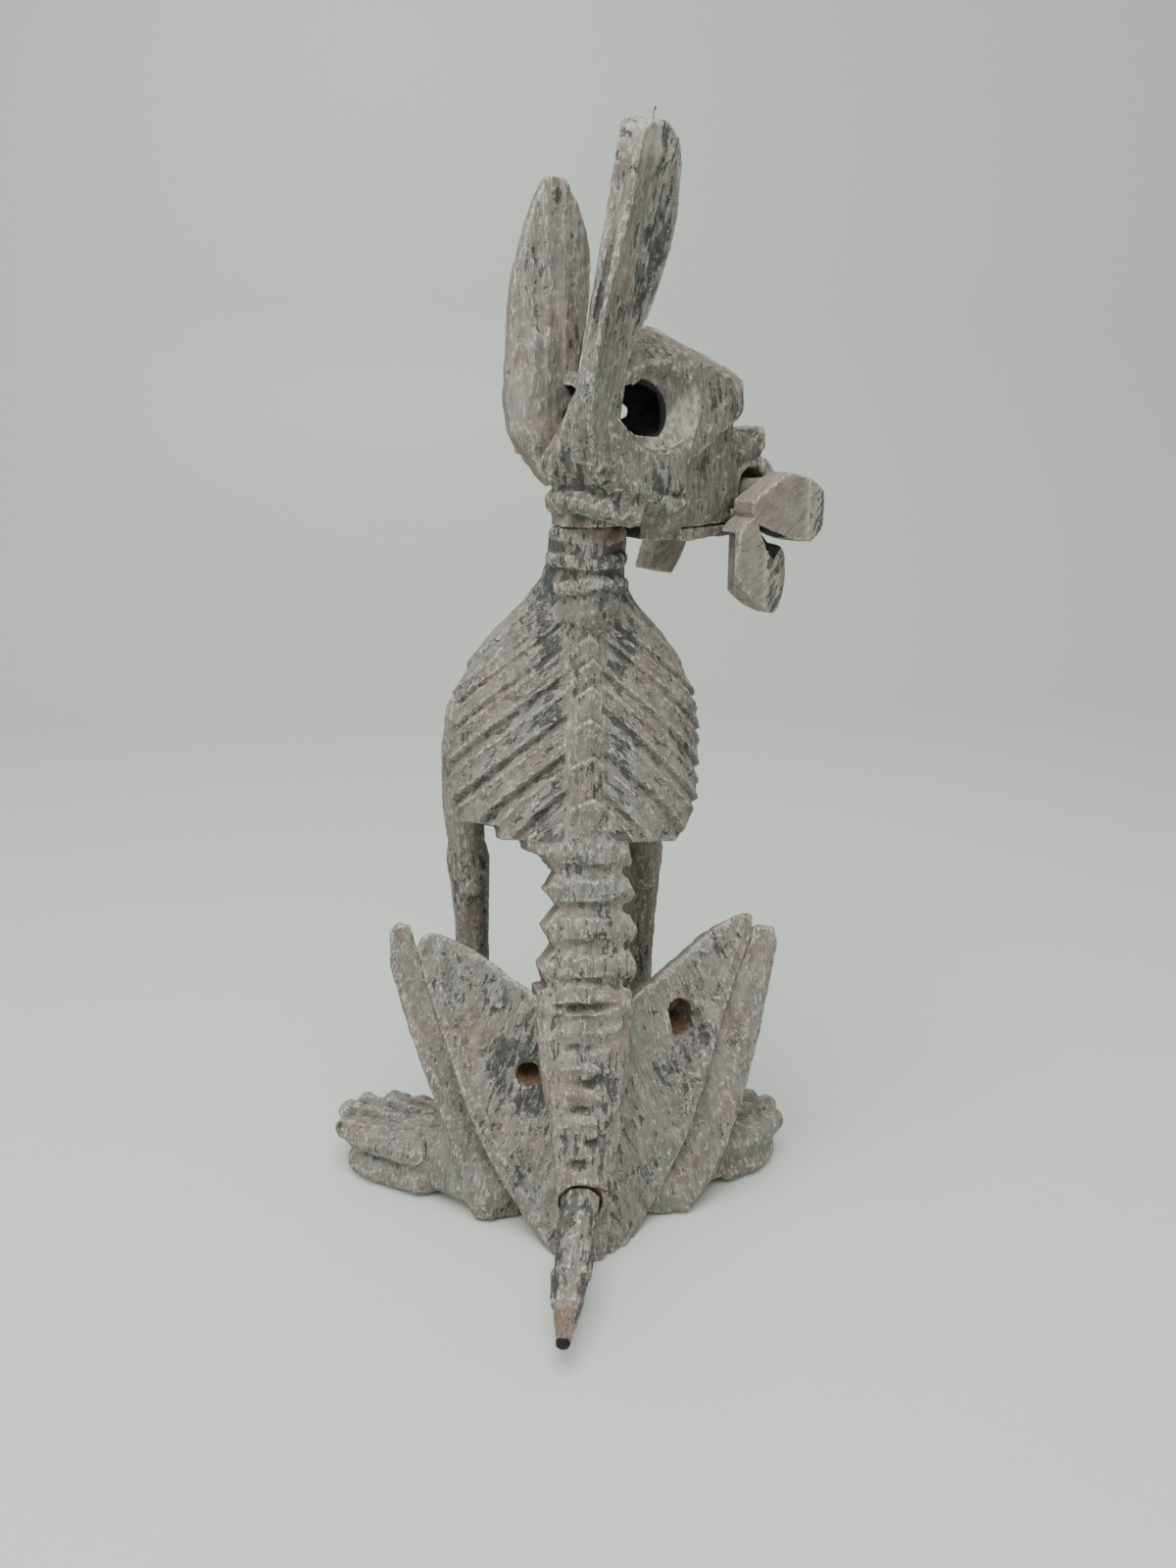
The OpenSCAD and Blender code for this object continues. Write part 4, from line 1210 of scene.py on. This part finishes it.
def bone_dark(x, y, z):
    """Black in the notch between the lobes, and dark paint on the slanted facets."""
    near = x < -20
    notch = near * (x > -37.7) * (outline_distance(BONE_NOTCH, y, z) < 0.8)
    facets = [np.clip(facet_depth_at(x, y, edge) + 1.0, 0, 1) * near for _, edge in BONE_LOBES]
    return np.clip(notch * 3.6 + facets[0] * (z > LOBE_SPLIT) * 1.6 + facets[1] * (z <= LOBE_SPLIT) * 1.6, 0,
                   3.6)


# the tail's five cuts: start, end, radius at each, and how far the middle lies aside and up
TAIL_STEPS = ((-5.5, 11, 8.2, 8.1, 0.2, 0), (7, 24, 8.2, 7.9, -0.2, 0.3), (21, 37, 8.5, 7.7, 0.4, 0.2),
              (35, 51, 8.0, 6.3, -0.3, -0.4), (48, 69, 6.3, 2.6, 0.2, -0.6))


def carve_tail():
    """Five short lengths of seven faces each, tapering to the tip."""
    block = Block(TAIL, (-10, -16, -18), (80, 16, 18))
    rng = np.random.default_rng(5)
    for start, end, wide, slim, aside, rise in TAIL_STEPS:
        faces = [((-1, 0, 0.1), (start, 0, 0)), ((1, 0, -0.15), (end, 0, 0))]
        turn = rng.random()
        for k in range(7):
            angle = (k + turn) * math.tau / 7
            direction = np.array([(wide - slim) / (end - start), math.cos(angle), math.sin(angle)])
            size = (wide + slim) / 2 * (0.97 + 0.05 * rng.random())
            faces.append((direction, (((start + end) / 2), aside + direction[1] * size,
                                      rise + direction[2] * size)))
        block.add(planes(faces, (start - 2, -14, -14), (end + 2, 14, 14), 0.8), 0.5)
    block.cut(planes([((1, 0, 0), (-5.6, 0, 0))], (-10, -16, -18), (-4, 16, 18)), 0.2)
    return block


def tail_dark(x, y, z):
    """Dark bands across the tail, and a black tip."""
    bands = 0.8 * bump(x - 28, 6) + 0.6 * bump(x - 8, 6) + 0.9 * bump(x - 43, 4) + 0.5 * bump(x - 17, 3)
    return np.where(x > 66.4, 3.6, bands)


def tail_raw(x, y, z):
    """Wood rubbed bare behind the tip and in two spots."""
    return 0.6 * np.clip((x - 54) / 1.5, 0, 1) * np.clip((67 - x) / 1.5, 0, 1) * (z - 0.8 * y > 0) \
        + 0.4 * bump(x - 46, 2.5) * (y > 1) + 0.3 * bump(x - 14, 5) * (y < -2)


# ---------------------------------------------------------------- the pieces

pieces = [finish_piece("trunk_carving", carve_trunk(), "trunk", "trunk", WOOD, 11,
                       facet=4.5, facet_depth=0.45, dark=trunk_dark, raw=trunk_raw, grain=trunk_grain,
                       floor=True)]
for s, name in SIDES:
    lean = rotation(y=-21 * s)
    pieces.append(finish_piece(name + "_thigh_carving", carve_thigh(s), "trunk", name + "_thigh",
                               WOOD, 20 + s, facet=7, dark=hip_dark(s), raw=hip_raw(s),
                               grain=lean, floor=True))
    pieces.append(finish_piece(name + "_lower_leg_carving", carve_lower_leg(s), "trunk", name + "_lower_leg",
                               LIGHT_WOOD, 30 + s, facet=6, grain=rotation(y=-9 * s),
                               floor=True))
    pieces.append(finish_piece(name + "_front_leg_carving", carve_front_leg(s), "trunk", name + "_front_leg",
                               WOOD, 40 + s, facet=6, floor=True))
    pieces.append(finish_piece(name + "_ear_carving", carve_ear(s), "head", name + "_ear",
                               LIGHT_WOOD if s > 0 else WOOD, 50 + s, facet=6,
                               facet_depth=0.4, dark=ear_dark(s), pale=ear_pale if s < 0 else None))
pieces.append(finish_piece("skull_carving", carve_skull(), "head", "skull", SKULL_WOOD,
                           61, facet=7, dark=skull_dark, raw=skull_raw, pale=skull_pale))
pieces.append(finish_piece("jaw_carving", carve_jaw(), "head", "lower_jaw", SKULL_WOOD,
                           62))
pieces.append(finish_piece("bone_carving", carve_bone(), "bone", "bone", BONE_WOOD, 63, facet=0,
                           rough=0.1, dark=bone_dark, pale=bone_pale, grain=rotation(x=60, y=40)))
pieces.append(finish_piece("tail_carving", carve_tail(), "tail", "tail", DARK_WOOD, 64,
                           facet=0, rough=0.2, dark=tail_dark, raw=tail_raw, grain=rotation(y=90)))

# ---------------------------------------------------------------- floor, lights, camera


def studio():
    """A pale sheet that lies under the figure and curves up behind it, and soft light from above."""
    bend, wall = 0.55, -1.6
    profile = [(2.6, 0.0), (0.6, 0.0), (wall + bend, 0.0)]
    profile += [(wall + bend * (1 - math.sin(t)), bend * (1 - math.cos(t)))
                for t in np.linspace(0, math.pi / 2, 17)[1:]]
    profile += [(wall, 1.2), (wall, 3.6)]
    half_width, below = 3.5, 0.0003
    verts = [(x, y, z - below) for y, z in profile for x in (-half_width, half_width)]
    faces = [(2 * i, 2 * i + 1, 2 * i + 3, 2 * i + 2) for i in range(len(profile) - 1)]
    mesh = bpy.data.meshes.new("studio_sheet")
    mesh.from_pydata(verts, [], faces)
    for face in mesh.polygons:
        face.use_smooth = True
    sheet = bpy.data.objects.new("studio_sheet", mesh)
    bpy.context.scene.collection.objects.link(sheet)
    n = Nodes("studio_sheet")
    place = n.node("TexCoord").outputs["Object"]
    tone = n.math("MULTIPLY", n.ramp(n.noise(place, 50, 3), 0.4, 0.6), 0.05)
    pale = n.mix(tone, (0.70, 0.73, 0.69), (0.63, 0.66, 0.62))
    shader = n.node("BsdfPrincipled", {"Base Color": pale, "Roughness": 0.4})
    n.tree.links.new(shader.outputs[0], n.node("OutputMaterial").inputs[0])
    mesh.materials.append(n.material)
    world = bpy.data.worlds.new("studio_air")
    world.use_nodes = True
    world.node_tree.nodes["Background"].inputs[0].default_value = (0.95, 1.0, 0.965, 1)
    world.node_tree.nodes["Background"].inputs[1].default_value = 0.62
    bpy.context.scene.world = world
    for name, at, aim, size, power in (
            ("top_light", (0.15, 0.35, 1.5), (0, -0.1, 0.1), 1.1, 23.0),
            ("side_light", (1.1, 0.5, 0.8), (0, -0.05, 0.2), 0.7, 3.5)):
        lamp = bpy.data.lights.new(name, "AREA")
        lamp.size = size
        lamp.energy = power
        holder = bpy.data.objects.new(name, lamp)
        holder.location = at
        holder.rotation_euler = (Vector(aim) - Vector(at)).to_track_quat("-Z", "Y").to_euler()
        bpy.context.scene.collection.objects.link(holder)


def camera():
    """Behind the dog and a little to its left, looking down at it."""
    around, down = math.radians(7), math.radians(17)
    distance, height = 0.45, 0.365      # metres from the origin over the floor, and up
    lens = bpy.data.cameras.new("camera")
    lens.lens = 27
    lens.clip_start = 0.02
    view = bpy.data.objects.new("camera", lens)
    view.location = (math.sin(around) * distance, math.cos(around) * distance, height)
    aim = Vector((-math.sin(around) * math.cos(down), -math.cos(around) * math.cos(down), -math.sin(down)))
    view.rotation_euler = aim.to_track_quat("-Z", "Y").to_euler()
    bpy.context.scene.collection.objects.link(view)
    bpy.context.scene.camera = view


studio()
camera()
